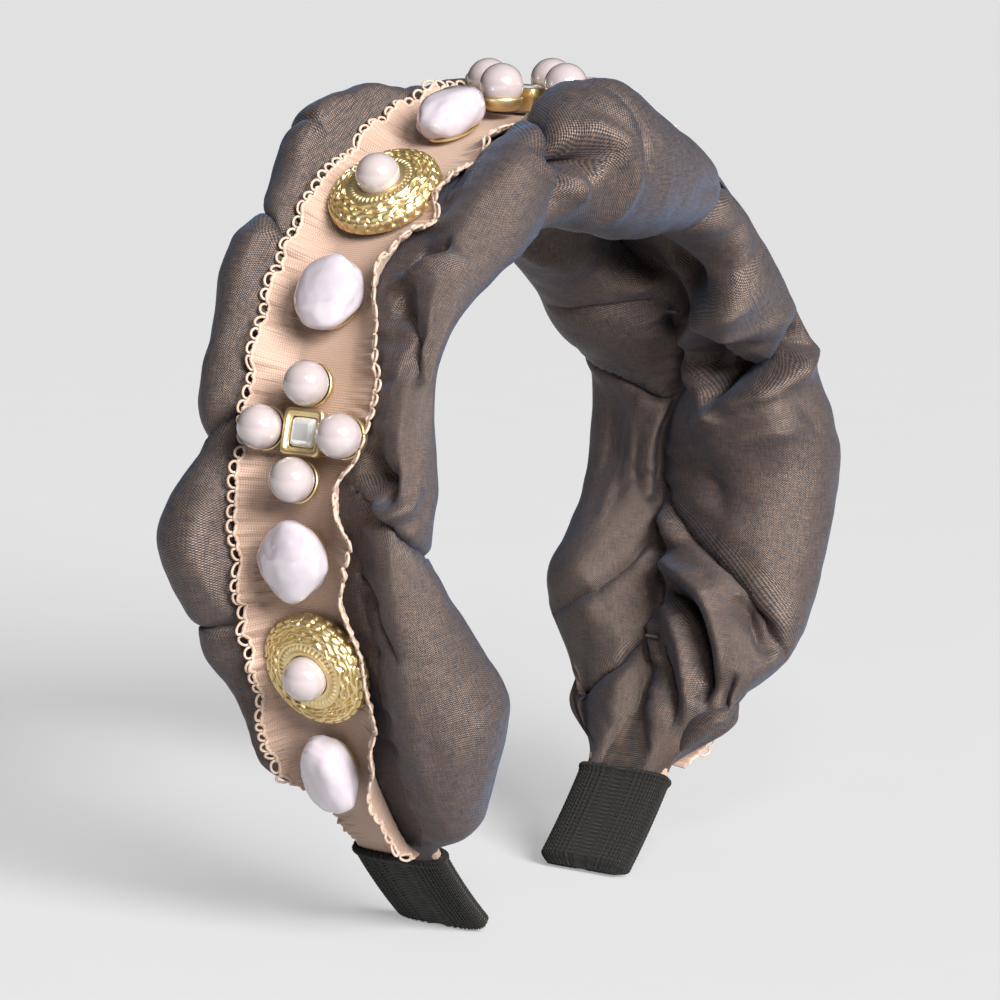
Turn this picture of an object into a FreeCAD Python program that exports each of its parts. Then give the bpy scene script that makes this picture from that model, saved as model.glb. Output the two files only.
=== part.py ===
"""A wide ruched headband: a sprung C-shaped hoop wrapped in ribbon, a gathered satin cover in two long lobes,
a picot-edged trim ribbon along the middle of its outer face, ornaments of pearls, gilt medallions and
crystals on the trim, and a knitted sleeve over each tip.

Row frame, millimetres: the hoop lies in the XZ plane, +Z is up to the crown, Y runs across the band, and the
origin is on the floor midway between the tips, which the headband stands on.

The hoop's centre line has two tangent arcs a side: the crown arc, from the top down to the shoulder angle,
and the leg arc, of larger radius, from there to the tip. A height across the band's thickness is measured
outward from that line.
"""
import FreeCAD
import Part
import math
import os

import Sketcher
from FreeCAD import Placement, Rotation, Vector

SIZES = {
    # the hoop's centre line; angles in degrees
    "crown_height": 144.75,
    "crown_radius": 64.5,
    "shoulder_angle": 105.5,
    "leg_radius": 128,
    # how far down the leg arc each piece reaches
    "core_leg_angle": 32.6,
    "cover_leg_angle": 23,
    "trim_leg_angle": 18.6,
    "sleeve_mouth_angle": 23.2,
    "sleeve_end_angle": 33.3,
    # sprung core, the ribbon wound round it, and the knitted sleeves
    "core_width": 17,
    "core_thick": 1.6,
    "core_corner": 4,
    "slack": 0.2,
    "wrap_thick": 0.4,
    "knit_thick": 0.8,
    "sleeve_corner": 3,
    "sleeve_closed_angle": 0.6,
    # gathered cover: heights from the centre line
    "cover_width": 53,
    "cover_outer": 9,
    "cover_inner": -9.5,
    "cover_edge_radius": 8,
    "cover_slot_slack": 0.2,
    "channel_width": 28,
    "channel_floor": 2,
    "channel_lip": 2.5,
    "seam_width": 8,
    "seam_floor": -4.5,
    "cover_end_width": 26,
    "cover_taper_low": 12,
    "cover_taper_high": 52,
    # where each end starts to thin towards its sleeve, and the slopes of its two faces in degrees
    "thin_from": 148,
    "thin_outer_slope": 15.5,
    "thin_inner_slope": 11.8,
    # trim ribbon and its picot loops
    "trim_width": 24,
    "trim_thick": 0.6,
    "picot_width": 1.4,
    "picot_thick": 0.5,
    "picot_gap": 0.1,
    # ornaments: their stations along the centre line, and the height of their bases
    "upper_step": 21.4,
    "lower_step": 19.7,
    "base_height": 3.4,
    "glue_thick": 0.5,
    "glue_radius": 2.5,
    # round pearls
    "pearl_radius": 4,
    "pearl_centre": 4.9,
    "peg_radius": 0.45,
    "peg_hole_radius": 0.55,
    "peg_hole_depth": 3,
    # cross setting and its crystal
    "cross_reach": 8.4,
    "arm_width": 3,
    "arm_thick": 0.8,
    "bezel_side": 8,
    "bezel_height": 4.2,
    "bezel_step_side": 6.6,
    "bezel_step_depth": 0.5,
    "cup_outer_radius": 3.2,
    "cup_inner_radius": 2.3,
    "cup_height": 1.5,
    "crystal_side": 5.2,
    "crystal_table": 3.2,
    "crystal_culet": 1.6,
    "crystal_crown": 0.9,
    "crystal_pavilion": 1.5,
    # medallion
    "medal_radius": 10.5,
    "medal_rim_height": 2,
    "medal_shoulder": 0.8,
    "medal_ring_radius": 6.8,
    "medal_ring_height": 3.6,
    "medal_groove_height": 3,
    "collar_radius": 5.8,
    "collar_bore": 4.5,
    "collar_height": 3.8,
    "medal_dish_height": 0.8,
    "medal_wall": 0.8,
    # baroque pearls, cut flat beneath: half length along the band, half width, half thickness
    "nugget_length": 7.1,
    "nugget_width": 6.6,
    "oval_length": 7.6,
    "oval_width": 5,
    "baroque_half_thick": 4.1,
    "baroque_centre": 3.4,
    "baroque_seat": 0.6,
    "plate_thick": 0.5,
    "plate_share": 0.8,
    # tacking stitches across the seam inside the hoop
    "stitch_radius": 0.3,
    "stitch_length": 2.8,
    "stitch_height": -6.4,
    "stitch_step": 24,
}
STITCHES_EACH_SIDE = 6
CUPS = 4
FAR = 60.0  # well past the object, for a cut that goes right through

doc = FreeCAD.newDocument("headband")


def make_sheet():
    """The driving dimensions, one row each: the name and its value."""
    made = doc.addObject("Spreadsheet::Sheet", "Sizes")
    for row, (name, value) in enumerate(SIZES.items(), start=1):
        made.set(f"A{row}", name)
        made.set(f"B{row}", str(value))
        made.setAlias(f"B{row}", name)
    doc.recompute()
    return made


sheet = make_sheet()


def size(name):
    return float(sheet.get(name))


def cell(text):
    """An expression in the sheet's names, each NAME written as S.NAME."""
    return text.replace("S.", "Sizes.")


def bind(item, **expressions):
    """Binds an object's properties to the sheet."""
    for prop, text in expressions.items():
        item.setExpression(prop, cell(text))
    return item


# ---------------------------------------------------------------- places on the band


def station(arc, height, across=0.0, turn=0.0):
    """The Placement of something on the band: arc mm from the crown along the centre line, positive to +X,
    with local Z outward, local X along the band and local Y across it, turned about Z."""
    side = -1.0 if arc < 0 else 1.0
    crown, leg, shoulder = size("crown_radius"), size("leg_radius"), math.radians(size("shoulder_angle"))
    angle = abs(arc) / crown
    x, z = crown * math.sin(angle), crown * math.cos(angle)
    if angle > shoulder:
        angle = shoulder + (abs(arc) - crown * shoulder) / leg
        x = leg * math.sin(angle) - (leg - crown) * math.sin(shoulder)
        z = leg * math.cos(angle) - (leg - crown) * math.cos(shoulder)
    z += size("crown_height") - crown
    place = Vector(side * (x + height * math.sin(angle)), across, z + height * math.cos(angle))
    tilt = Rotation(Vector(0, 1, 0), side * math.degrees(angle))
    return Placement(place, tilt * Rotation(Vector(0, 0, 1), turn))


# ---------------------------------------------------------------- sketches


def origin_plane(body, role):
    return [item for item in body.Origin.OriginFeatures if item.Role == role][0]


def new_body(label):
    body = doc.addObject("PartDesign::Body", label)
    body.Label = label
    return body


def sketch_on(body, role, name):
    sketch = body.newObject("Sketcher::SketchObject", name)
    sketch.AttachmentSupport = [(origin_plane(body, role), "")]
    sketch.MapMode = "FlatFace"
    return sketch


def constrain(sketch, kind, *where, name=None, value=None):
    """Adds a constraint; with a name, its value is driven by an expression of the sheet."""
    if name is None:
        return sketch.addConstraint(Sketcher.Constraint(kind, *where))
    index = sketch.addConstraint(Sketcher.Constraint(kind, *where, evaluate(value)))
    sketch.renameConstraint(index, name)
    sketch.setExpression(f"Constraints.{name}", cell(value))
    return index


def evaluate(text):
    """The present value of an expression of the sheet, in millimetres, or in radians where it is an angle."""
    value = float(getattr(sheet.evalExpression(cell(text)), "Value", sheet.evalExpression(cell(text))))
    return math.radians(value) if "angle" in text else value


def polygon(sketch, corners):
    """A closed outline of straight lines. Gives the first line's index."""
    first = sketch.GeometryCount
    points = [Vector(x, y, 0) for x, y in corners]
    for start, end in zip(points, points[1:] + points[:1]):
        sketch.addGeometry(Part.LineSegment(start, end), False)
    for i in range(len(points)):
        constrain(sketch, "Coincident", first + i, 2, first + (i + 1) % len(points), 1)
    return first


def driven_polygon(sketch, corners, tag):
    """A closed outline whose every corner is driven: corners are pairs of expressions."""
    first = polygon(sketch, [(evaluate(x), evaluate(y)) for x, y in corners])
    for i, (x, y) in enumerate(corners):
        if evaluate(x) == 0:
            constrain(sketch, "PointOnObject", first + i, 1, -2)
        else:
            constrain(sketch, "DistanceX", -1, 1, first + i, 1, name=f"{tag}_x{i}", value=x)
        if evaluate(y) == 0:
            constrain(sketch, "PointOnObject", first + i, 1, -1)
        else:
            constrain(sketch, "DistanceY", -1, 1, first + i, 1, name=f"{tag}_y{i}", value=y)
    return first


def rectangle(sketch, width, low, high, tag="box"):
    """A rectangle centred on the sketch's vertical axis, from low to high."""
    half = f"({width}) / 2"
    return driven_polygon(sketch, [(f"-{half}", low), (half, low), (half, high), (f"-{half}", high)], tag)


def circle(sketch, radius, x="0", y="0", tag="ring"):
    ring = Part.Circle(Vector(evaluate(x), evaluate(y), 0), Vector(0, 0, 1), evaluate(radius))
    index = sketch.addGeometry(ring)
    constrain(sketch, "Radius", index, name=f"{tag}_radius", value=radius)
    if evaluate(x) == 0:
        constrain(sketch, "PointOnObject", index, 3, -2)
    else:
        constrain(sketch, "DistanceX", -1, 1, index, 3, name=f"{tag}_x", value=x)
    constrain(sketch, "PointOnObject", index, 3, -1)
    return index


def hoop_path(body, leg_angle, name="path"):
    """The centre line's right half: the crown arc and the leg arc, down to an angle on the leg arc."""
    sketch = sketch_on(body, "XZ_Plane", name)
    top, crown, leg = size("crown_height"), size("crown_radius"), size("leg_radius")
    shoulder, end = size("shoulder_angle"), evaluate(leg_angle)
    join = math.radians(90 - shoulder)
    centre = Vector(0, top - crown, 0)
    leg_centre = centre - Vector(math.cos(join), math.sin(join), 0) * (leg - crown)
    circle_1 = Part.Circle(centre, Vector(0, 0, 1), crown)
    circle_2 = Part.Circle(leg_centre, Vector(0, 0, 1), leg)
    sketch.addGeometry(Part.ArcOfCircle(circle_1, join, math.pi / 2), False)
    sketch.addGeometry(Part.ArcOfCircle(circle_2, join - end, join), False)
    constrain(sketch, "PointOnObject", 0, 3, -2)
    constrain(sketch, "PointOnObject", 0, 2, -2)
    constrain(sketch, "Tangent", 0, 1, 1, 2)
    constrain(sketch, "DistanceY", -1, 1, 0, 2, name="top", value="S.crown_height")
    constrain(sketch, "Radius", 0, name="crown", value="S.crown_radius")
    constrain(sketch, "Angle", 0, name="shoulder", value="S.shoulder_angle")
    constrain(sketch, "Radius", 1, name="leg", value="S.leg_radius")
    constrain(sketch, "Angle", 1, name="reach", value=leg_angle)
    return sketch


# ---------------------------------------------------------------- features


def pipe(body, kind, name, profile, path):
    feature = body.newObject(f"PartDesign::{kind}Pipe", name)
    feature.Profile = profile
    feature.Spine = (path, [])
    return feature


def mirror(body, features):
    """Adds the left half, the mirror image in the YZ plane."""
    made = body.newObject("PartDesign::Mirrored", "left_half")
    made.Originals = features
    made.MirrorPlane = (origin_plane(body, "YZ_Plane"), [""])
    body.Tip = made
    return made


def pad(body, name, sketch, length):
    feature = body.newObject("PartDesign::Pad", name)
    feature.Profile = sketch
    return bind(feature, Length=length)


def strip(label, width, low, high, leg_angle, hollow=None):
    """A strip of rectangular section along the hoop; hollow is the section of a space all along inside it."""
    body = new_body(label)
    section = sketch_on(body, "YZ_Plane", "section")
    rectangle(section, width, f"S.crown_height + ({low})", f"S.crown_height + ({high})")
    halves = [pipe(body, "Additive", "right_half", section, hoop_path(body, leg_angle))]
    if hollow:
        space = sketch_on(body, "YZ_Plane", "space")
        wide, half = hollow[0], f"({hollow[1]}) / 2"
        rectangle(space, wide, f"S.crown_height - {half}", f"S.crown_height + {half}")
        space_path = hoop_path(body, leg_angle, "space_path")
        halves.append(pipe(body, "Subtractive", "right_space", space, space_path))
    mirror(body, halves)
    doc.recompute()
    return body


def fillet(body, name, radius, wanted):
    """Rounds the edges of the body that wanted(edge) picks."""
    base = body.Tip
    names = [f"Edge{i}" for i, edge in enumerate(base.Shape.Edges, start=1) if wanted(edge)]
    if not names:
        raise RuntimeError(f"{body.Label}: {name} found no edge")
    feature = body.newObject("PartDesign::Fillet", name)
    feature.Base = (base, names)
    bind(feature, Radius=radius)
    doc.recompute()
    return feature


def length_is(edge, wanted):
    return abs(edge.Length - wanted) < 1e-3


# ---------------------------------------------------------------- the hoop and what covers it


def make_hoop_core():
    """The sprung strip that grips the head, with rounded corners at its tips."""
    body = strip("hoop_core", "S.core_width", "-S.core_thick / 2", "S.core_thick / 2", "S.core_leg_angle")
    fillet(body, "tip_corners", "S.core_corner", lambda edge: length_is(edge, size("core_thick")))
    return body


def make_hoop_wrap():
    """The ribbon wound round the core, as a sheath that is open at the tips."""
    outer = "S.core_{0} + S.slack + 2 * S.wrap_thick"
    thick = outer.format("thick")
    hollow = ("S.core_width + S.slack", "S.core_thick + S.slack")
    width, half = outer.format("width"), f"({thick}) / 2"
    return strip("hoop_wrap", width, f"-{half}", half, "S.core_leg_angle", hollow)


def cover_section():
    """The corners of the cover's section, from its outer middle round to its inner middle, on the +Y side."""
    top = "S.crown_height + "
    half = "S.cover_width / 2"
    channel = "S.channel_width / 2"
    right = [
        (channel, top + "S.channel_floor"),
        (channel + " + S.channel_lip", top + "S.cover_outer"),
        (half, top + "S.cover_outer"),
        (half, top + "S.cover_inner"),
        ("S.seam_width / 2", top + "S.cover_inner"),
    ]
    left = [(f"-({y})", z) for y, z in reversed(right)]
    return right + [("0", top + "S.seam_floor")] + left


def make_pleated_cover():
    """The gathered satin cover: a front and a back lobe, joined under the trim, with a slot for the wrapped
    core and a seam valley inside. It narrows and thins towards the tips."""
    body = new_body("gathered_lobes")
    section = sketch_on(body, "YZ_Plane", "section")
    driven_polygon(section, cover_section(), "p")
    lobes = pipe(body, "Additive", "right_half", section, hoop_path(body, "S.cover_leg_angle"))
    doc.recompute()
    wide = size("cover_width") / 2

    def long_edge(edge):
        box = edge.BoundBox
        flat = box.YLength < 1e-3 and abs(abs(box.YMin) - wide) < 1e-3
        return flat and edge.Length > size("cover_outer") - size("cover_inner") + 1

    fillet(body, "lobe_edges", "S.cover_edge_radius", long_edge)
    rounded = body.Tip
    space = sketch_on(body, "YZ_Plane", "slot")
    slot = "S.core_{0} + S.slack + 2 * S.wrap_thick + S.cover_slot_slack"
    half = f"({slot.format('thick')}) / 2"
    rectangle(space, slot.format("width"), f"S.crown_height - {half}", f"S.crown_height + {half}")
    hollow = pipe(body, "Subtractive", "right_slot", space, hoop_path(body, "S.cover_leg_angle", "slot_path"))
    mirror(body, [lobes, rounded, hollow])
    doc.recompute()
    taper = sketch_on(body, "YZ_Plane", "taper")
    for side, tag in (("", "front"), ("-", "back")):
        outline = [
            (f"{side}S.cover_end_width / 2", "S.cover_taper_low"),
            (f"{side}S.cover_width / 2", "S.cover_taper_high"),
            (f"{side}S.cover_width", "S.cover_taper_high"),
            (f"{side}S.cover_width", "S.cover_taper_low"),
        ]
        driven_polygon(taper, outline, tag)
    before = body.Tip.Shape.Volume
    cut = body.newObject("PartDesign::Pocket", "leg_taper")
    cut.Profile = taper
    cut.Type = "ThroughAll"
    cut.Midplane = True
    doc.recompute()
    if not cut.Shape.Volume < before - 1:
        raise RuntimeError("the cover's taper cut nothing")
    return cut_from("pleated_cover", body, group("thinning", [thinning_block(*end) for end in cover_ends()]))


def cover_ends():
    """Each end of the cover, and the face of it that is cut down there."""
    return [(side, face) for side in (-1, 1) for face in ("outer", "inner")]


def thinning_block(side, face):
    """The block cut off one face of one end of the cover, sloping down to the sleeve."""
    block = doc.addObject("Part::Box", f"{face}_block")
    block.Length, block.Width, block.Height = FAR, 2 * FAR, FAR
    outward = face == "outer"
    slope = size(f"thin_{face}_slope") * (1 if outward else -1)
    start = station(side * size("thin_from"), size(f"cover_{face}"), turn=0 if side > 0 else 180)
    tilt = Rotation(Vector(0, 1, 0), slope)
    corner = Placement(Vector(0, -FAR, 0 if outward else -FAR), Rotation())
    block.Placement = start * Placement(Vector(), tilt) * corner
    return block


def make_trim():
    """The trim ribbon in the cover's channel, and the picot loops along each of its edges as plain strips."""
    low, high = "S.channel_floor + S.slack", "S.channel_floor + S.slack + S.trim_thick"
    strip("trim_ribbon", "S.trim_width", low, high, "S.trim_leg_angle")
    for side, label in (("-", "picot_edge_front"), ("", "picot_edge_back")):
        body = new_body(label)
        section = sketch_on(body, "YZ_Plane", "section")
        near = "S.trim_width / 2 + S.picot_gap"
        y0, y1 = f"{side}({near})", f"{side}({near} + S.picot_width)"
        z0 = f"S.crown_height + {low}"
        z1 = f"{z0} + S.picot_thick"
        driven_polygon(section, [(y0, z0), (y1, z0), (y1, z1), (y0, z1)], "p")
        mirror(body, [pipe(body, "Additive", "right_half", section, hoop_path(body, "S.trim_leg_angle"))])
        doc.recompute()


def make_sleeve(label, side):
    """A closed knitted sleeve over one tip. It is turned about the leg arc's centre, which is its own origin,
    and its lowest edge is flattened where it stands on the floor."""
    body = new_body(label + "_knit")
    outer = "S.core_{0} + S.slack * 2 + 2 * S.wrap_thick + 2 * S.knit_thick"
    inner = "S.core_{0} + S.slack * 2 + 2 * S.wrap_thick"
    section = sketch_on(body, "YZ_Plane", "section")
    half = f"({outer.format('thick')}) / 2"
    rectangle(section, outer.format("width"), f"S.leg_radius - {half}", f"S.leg_radius + {half}")
    turned = body.newObject("PartDesign::Revolution", "knit")
    turned.Profile = section
    turned.ReferenceAxis = (section, ["H_Axis"])
    bind(turned, Angle="S.sleeve_end_angle - S.sleeve_mouth_angle")
    doc.recompute()
    if turned.Shape.BoundBox.XMax < 1:
        turned.Reversed = True
        doc.recompute()
    fillet(body, "corners", "S.sleeve_corner", lambda edge: length_is(edge, evaluate(outer.format("thick")))
           and edge.BoundBox.XMin > 1)
    space = sketch_on(body, "YZ_Plane", "space")
    half = f"({inner.format('thick')}) / 2"
    rectangle(space, inner.format("width"), f"S.leg_radius - {half}", f"S.leg_radius + {half}")
    before = body.Tip.Shape.Volume
    groove = body.newObject("PartDesign::Groove", "pocket")
    groove.Profile = space
    groove.ReferenceAxis = (space, ["H_Axis"])
    groove.Reversed = turned.Reversed
    bind(groove, Angle="S.sleeve_end_angle - S.sleeve_mouth_angle - S.sleeve_closed_angle")
    doc.recompute()
    if not groove.Shape.Volume < before - 1:
        raise RuntimeError("the sleeve's pocket cut nothing")
    shoulder = math.radians(size("shoulder_angle"))
    step = size("leg_radius") - size("crown_radius")
    rise = size("crown_height") - size("crown_radius")
    centre = Vector(-step * math.sin(shoulder), 0, rise - step * math.cos(shoulder))
    start = Rotation(Vector(0, 1, 0), size("shoulder_angle") + size("sleeve_mouth_angle"))
    across = Placement(Vector(), Rotation(Vector(0, 0, 1), 0 if side > 0 else 180))
    body.Placement = across * Placement(centre, start)
    floor = doc.addObject("Part::Box", label + "_floor")
    floor.Length, floor.Width, floor.Height = 4 * FAR, 2 * FAR, FAR
    floor.Placement = Placement(Vector(-2 * FAR, -FAR, -FAR), Rotation())
    sleeve = doc.addObject("Part::Cut", label)
    sleeve.Base, sleeve.Tool = body, floor
    return sleeve


def make_stitches():
    """The hand stitches that draw the cover's two sides together inside the hoop, one solid each."""
    found = []
    for i in range(-STITCHES_EACH_SIDE, STITCHES_EACH_SIDE + 1):
        thread = doc.addObject("Part::Cylinder", "stitch")
        bind(thread, Radius="S.stitch_radius", Height="S.stitch_length")
        lie_across = Placement(Vector(0, size("stitch_length") / 2, 0), Rotation(Vector(1, 0, 0), 90))
        thread.Placement = station(i * size("stitch_step"), size("stitch_height")) * lie_across
        found.append(thread)
    return group("tacking_stitches", found)


def group(label, members):
    """Identical pieces that share a node, as separate solids."""
    made = doc.addObject("Part::Compound", label)
    made.Links = members
    return made


# ---------------------------------------------------------------- ornaments, each in its own frame, Z outward


def cut_from(label, base, tool):
    made = doc.addObject("Part::Cut", label)
    made.Base, made.Tool = base, tool
    return made


def make_pearl(label):
    """A round pearl with a blind hole beneath for its peg, where it has one."""
    ball = bind(doc.addObject("Part::Sphere", "ball"), Radius="S.pearl_radius")
    hole = doc.addObject("Part::Cylinder", "peg_hole")
    bind(hole, Radius="S.peg_hole_radius", Height="S.peg_hole_depth")
    hole.setExpression("Placement.Base.z", cell("-S.pearl_radius"))
    return cut_from(label, ball, hole)


def make_cross_setting(label):
    """The cast gilt setting of a cross: two arms, a square box for the crystal, and a cup with a peg for each
    of the four pearls."""
    body = new_body(label)
    reach, half = "S.cross_reach", "S.arm_width / 2"
    for name, x, y in (("arm_along", reach, half), ("arm_across", half, reach)):
        arm = sketch_on(body, "XY_Plane", name + "_outline")
        driven_polygon(arm, [(f"-({x})", f"-({y})"), (x, f"-({y})"), (x, y), (f"-({x})", y)], "p")
        pad(body, name, arm, "S.arm_thick")
    box = sketch_on(body, "XY_Plane", "bezel_outline")
    rectangle(box, "S.bezel_side", "-S.bezel_side / 2", "S.bezel_side / 2")
    pad(body, "bezel", box, "S.bezel_height")
    floor = sketch_on(body, "XY_Plane", "cup_floor_outline")
    circle(floor, "S.cup_outer_radius", x=reach)
    cup = [pad(body, "cup_floor", floor, "S.arm_thick")]
    ring = sketch_on(body, "XY_Plane", "cup_ring_outline")
    circle(ring, "S.cup_outer_radius", x=reach, tag="outer")
    circle(ring, "S.cup_inner_radius", x=reach, tag="inner")
    cup.append(pad(body, "cup_ring", ring, "S.cup_height"))
    peg = sketch_on(body, "XY_Plane", "peg_outline")
    circle(peg, "S.peg_radius", x=reach)
    cup.append(pad(body, "peg", peg, "S.pearl_centre - S.pearl_radius + S.peg_hole_depth - S.slack"))
    doc.recompute()
    around = body.newObject("PartDesign::PolarPattern", "cups")
    around.Originals = cup
    around.Axis = ([item for item in body.Origin.OriginFeatures if item.Role == "Z_Axis"][0], [""])
    around.Angle = 360
    around.Occurrences = CUPS
    body.Tip = around
    doc.recompute()
    steps = (
        ("frame_step", "S.bezel_step_side", "S.bezel_step_depth"),
        ("crystal_seat", "S.crystal_side + S.slack", "S.crystal_pavilion + S.crystal_crown"),
    )
    for name, side, depth in steps:
        seat = sketch_on(body, "XY_Plane", name + "_outline")
        rectangle(seat, side, f"-({side}) / 2", f"({side}) / 2")
        bind(seat, **{"AttachmentOffset.Base.z": "S.bezel_height"})
        before = body.Tip.Shape.Volume
        pocket = body.newObject("PartDesign::Pocket", name)
        pocket.Profile = seat
        bind(pocket, Length=depth)
        doc.recompute()
        if not pocket.Shape.Volume < before - 1:
            raise RuntimeError(f"{label}: {name} cut nothing")
    return body


def make_crystal(label):
    """A square stone: a bevelled crown over a tapering pavilion, its girdle at local Z 0."""
    halves = []
    for name, end, depth, over in (
        ("crown", "S.crystal_table", "S.crystal_crown", 0),
        ("pavilion", "S.crystal_culet", "S.crystal_pavilion", 180),
    ):
        wedge = doc.addObject("Part::Wedge", name)
        side = "S.crystal_side / 2"
        bind(wedge, Xmin=f"-{side}", Xmax=side, Zmin=f"-{side}", Zmax=side, Ymin="S.slack * 0", Ymax=depth)
        bind(wedge, X2min=f"-{end} / 2", X2max=f"{end} / 2", Z2min=f"-{end} / 2", Z2max=f"{end} / 2")
        wedge.Placement = Placement(Vector(), Rotation(Vector(1, 0, 0), 90 + over))
        halves.append(wedge)
    made = doc.addObject("Part::Fuse", label)
    made.Base, made.Tool = halves
    return made


def make_medallion(label):
    """The stamped gilt disc of a medallion, hollow behind: a rim, a domed ring, a groove, and a collar round
    the pearl's dish."""
    body = new_body(label)
    profile = sketch_on(body, "XZ_Plane", "profile")
    corners = [
        ("0", "0"),
        ("S.collar_radius", "0"),
        ("S.collar_radius", "S.medal_groove_height - S.medal_wall"),
        ("S.medal_ring_radius", "S.medal_groove_height - S.medal_wall"),
        ("S.medal_radius - S.medal_wall", "S.medal_rim_height - S.medal_wall / 2"),
        ("S.medal_radius - S.medal_wall", "0"),
        ("S.medal_radius", "0"),
        ("S.medal_radius", "S.medal_rim_height"),
        ("S.medal_radius - S.medal_shoulder", "S.medal_rim_height + S.medal_shoulder"),
        ("S.medal_ring_radius", "S.medal_ring_height"),
        ("S.medal_ring_radius", "S.medal_groove_height"),
        ("S.collar_radius", "S.medal_groove_height"),
        ("S.collar_radius", "S.collar_height"),
        ("S.collar_bore", "S.collar_height"),
        ("S.collar_bore", "S.medal_dish_height"),
        ("0", "S.medal_dish_height"),
    ]
    driven_polygon(profile, corners, "p")
    turned = body.newObject("PartDesign::Revolution", "disc")
    turned.Profile = profile
    turned.ReferenceAxis = (profile, ["V_Axis"])
    turned.Angle = 360
    doc.recompute()
    return body


def make_baroque(label, shape):
    """An irregular pearl as a flattened ellipsoid, cut flat beneath."""
    stone = doc.addObject("Part::Ellipsoid", "stone")
    bind(stone, Radius1="S.baroque_half_thick", Radius2=f"S.{shape}_length", Radius3=f"S.{shape}_width")
    stone.setExpression("Placement.Base.z", cell("S.baroque_centre"))
    beneath = doc.addObject("Part::Box", "beneath")
    beneath.Length, beneath.Width, beneath.Height = FAR, FAR, FAR
    beneath.Placement = Placement(Vector(-FAR / 2, -FAR / 2, size("baroque_seat") - FAR), Rotation())
    return cut_from(label, stone, beneath)


def make_plate(label, shape):
    """The gilt plate that an irregular pearl sits on."""
    outline = doc.addObject("Part::Ellipse", "outline")
    radius = "S.{0}_{1} * S.plate_share"
    bind(outline, MajorRadius=radius.format(shape, "length"), MinorRadius=radius.format(shape, "width"))
    plate = doc.addObject("Part::Extrusion", label)
    plate.Base = outline
    plate.DirMode = "Custom"
    plate.Dir = Vector(0, 0, 1)
    plate.Solid = True
    return bind(plate, LengthFwd="S.plate_thick")


def put(item, place, rise=0.0, along=0.0, across=0.0, turn=0.0):
    """Sets an ornament's piece on the band: rise above the ornament's base, along and across its middle. The
    place is the base's (arc, across)."""
    base = station(place[0], size("base_height"), across=place[1], turn=turn)
    item.Placement = base * Placement(Vector(along, across, rise), Rotation())
    return item


def make_cross(name, place):
    """A cross of four pearls round a crystal."""
    reach, rise = size("cross_reach"), size("pearl_centre")
    put(make_cross_setting(f"{name}_setting"), place)
    top = size("bezel_height") - size("crystal_crown")
    put(make_crystal(f"{name}_crystal"), place, rise=top)
    for label, along, across in (("left", -1, 0), ("right", 1, 0), ("front", 0, -1), ("back", 0, 1)):
        put(make_pearl(f"{name}_pearl_{label}"), place, rise, along * reach, across * reach)


def make_medal(name, place):
    """A medallion with its pearl."""
    put(make_medallion(f"{name}_disc"), place)
    put(make_pearl(f"{name}_pearl"), place, rise=size("pearl_centre"))


def make_stone(name, place, shape, turn):
    """An irregular pearl on its plate."""
    put(make_plate(f"{name}_plate", shape), place, turn=turn)
    put(make_baroque(f"{name}_pearl", shape), place, turn=turn)


# how far each ornament is glued from its even place, as (along the band towards the crown, across): the rows
# meander a little, as work done by hand does
MEANDER = {
    "left": [(2.9, 3), (2.3, 3), (1.2, 2), (-0.4, -0.5), (0.7, 0.5), (0.7, 0), (0, 1.5)],
    "right": [(0, 0), (0, 1), (0, 1), (0, 0), (0, -1), (0, 0), (0, 1)],
}


def make_ornaments():
    """The crown cross, and the same row of ornaments down each side of it."""
    upper, lower = size("upper_step"), size("lower_step")
    make_cross("crown_cross", (0, 0))
    stations = [(0.0, 0.0)]
    for side, word in ((-1, "left"), (1, "right")):
        arcs = [upper * i for i in range(1, 6)] + [5 * upper + lower * i for i in (1, 2)]
        places = [(side * (arc - nearer), across) for arc, (nearer, across) in zip(arcs, MEANDER[word])]
        make_stone(f"{word}_upper_oval", places[0], "oval", 0)
        make_medal(f"{word}_upper_medallion", places[1])
        make_stone(f"{word}_upper_nugget", places[2], "nugget", 0)
        make_cross(f"{word}_cross", places[3])
        make_stone(f"{word}_lower_nugget", places[4], "nugget", 0)
        make_medal(f"{word}_lower_medallion", places[5])
        make_stone(f"{word}_lower_oval", places[6], "oval", 0)
        stations += places
    pads = []
    for arc, across in stations:
        dab = bind(doc.addObject("Part::Cylinder", "dab"), Radius="S.glue_radius", Height="S.glue_thick")
        dab.Placement = station(arc, size("base_height") - size("glue_thick"), across=across)
        pads.append(dab)
    group("glue_pads", pads)


# ---------------------------------------------------------------- build, check and write


def sub_parts():
    """The finished objects: those that no other object is made from."""
    kinds = ("PartDesign::Body", "Part::Cut", "Part::Fuse", "Part::Compound", "Part::Extrusion")
    made = [item for item in doc.Objects if item.TypeId in kinds]
    used = {part.Name for item in made if item.TypeId != "PartDesign::Body" for part in item.OutList}
    return [item for item in made if item.Name not in used]


def check_document():
    for item in doc.Objects:
        if "Invalid" in item.State or "Error" in item.State:
            raise RuntimeError(f"{item.Label} failed: {item.State}")
    for item in sub_parts():
        shape = item.Shape
        if shape.isNull() or not shape.isValid() or not shape.Solids:
            raise RuntimeError(f"{item.Label} has no valid solid")
        if min(solid.Volume for solid in shape.Solids) <= 0:
            raise RuntimeError(f"{item.Label} has a solid without volume")


def write_parts():
    os.makedirs("parts", exist_ok=True)
    for old in os.listdir("parts"):
        os.remove(os.path.join("parts", old))
    for item in sub_parts():
        item.Shape.exportStep(os.path.join("parts", item.Label + ".step"))
        print(f"{item.Label}: {len(item.Shape.Solids)} solid(s), {item.Shape.Volume:.1f} mm3")


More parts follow.
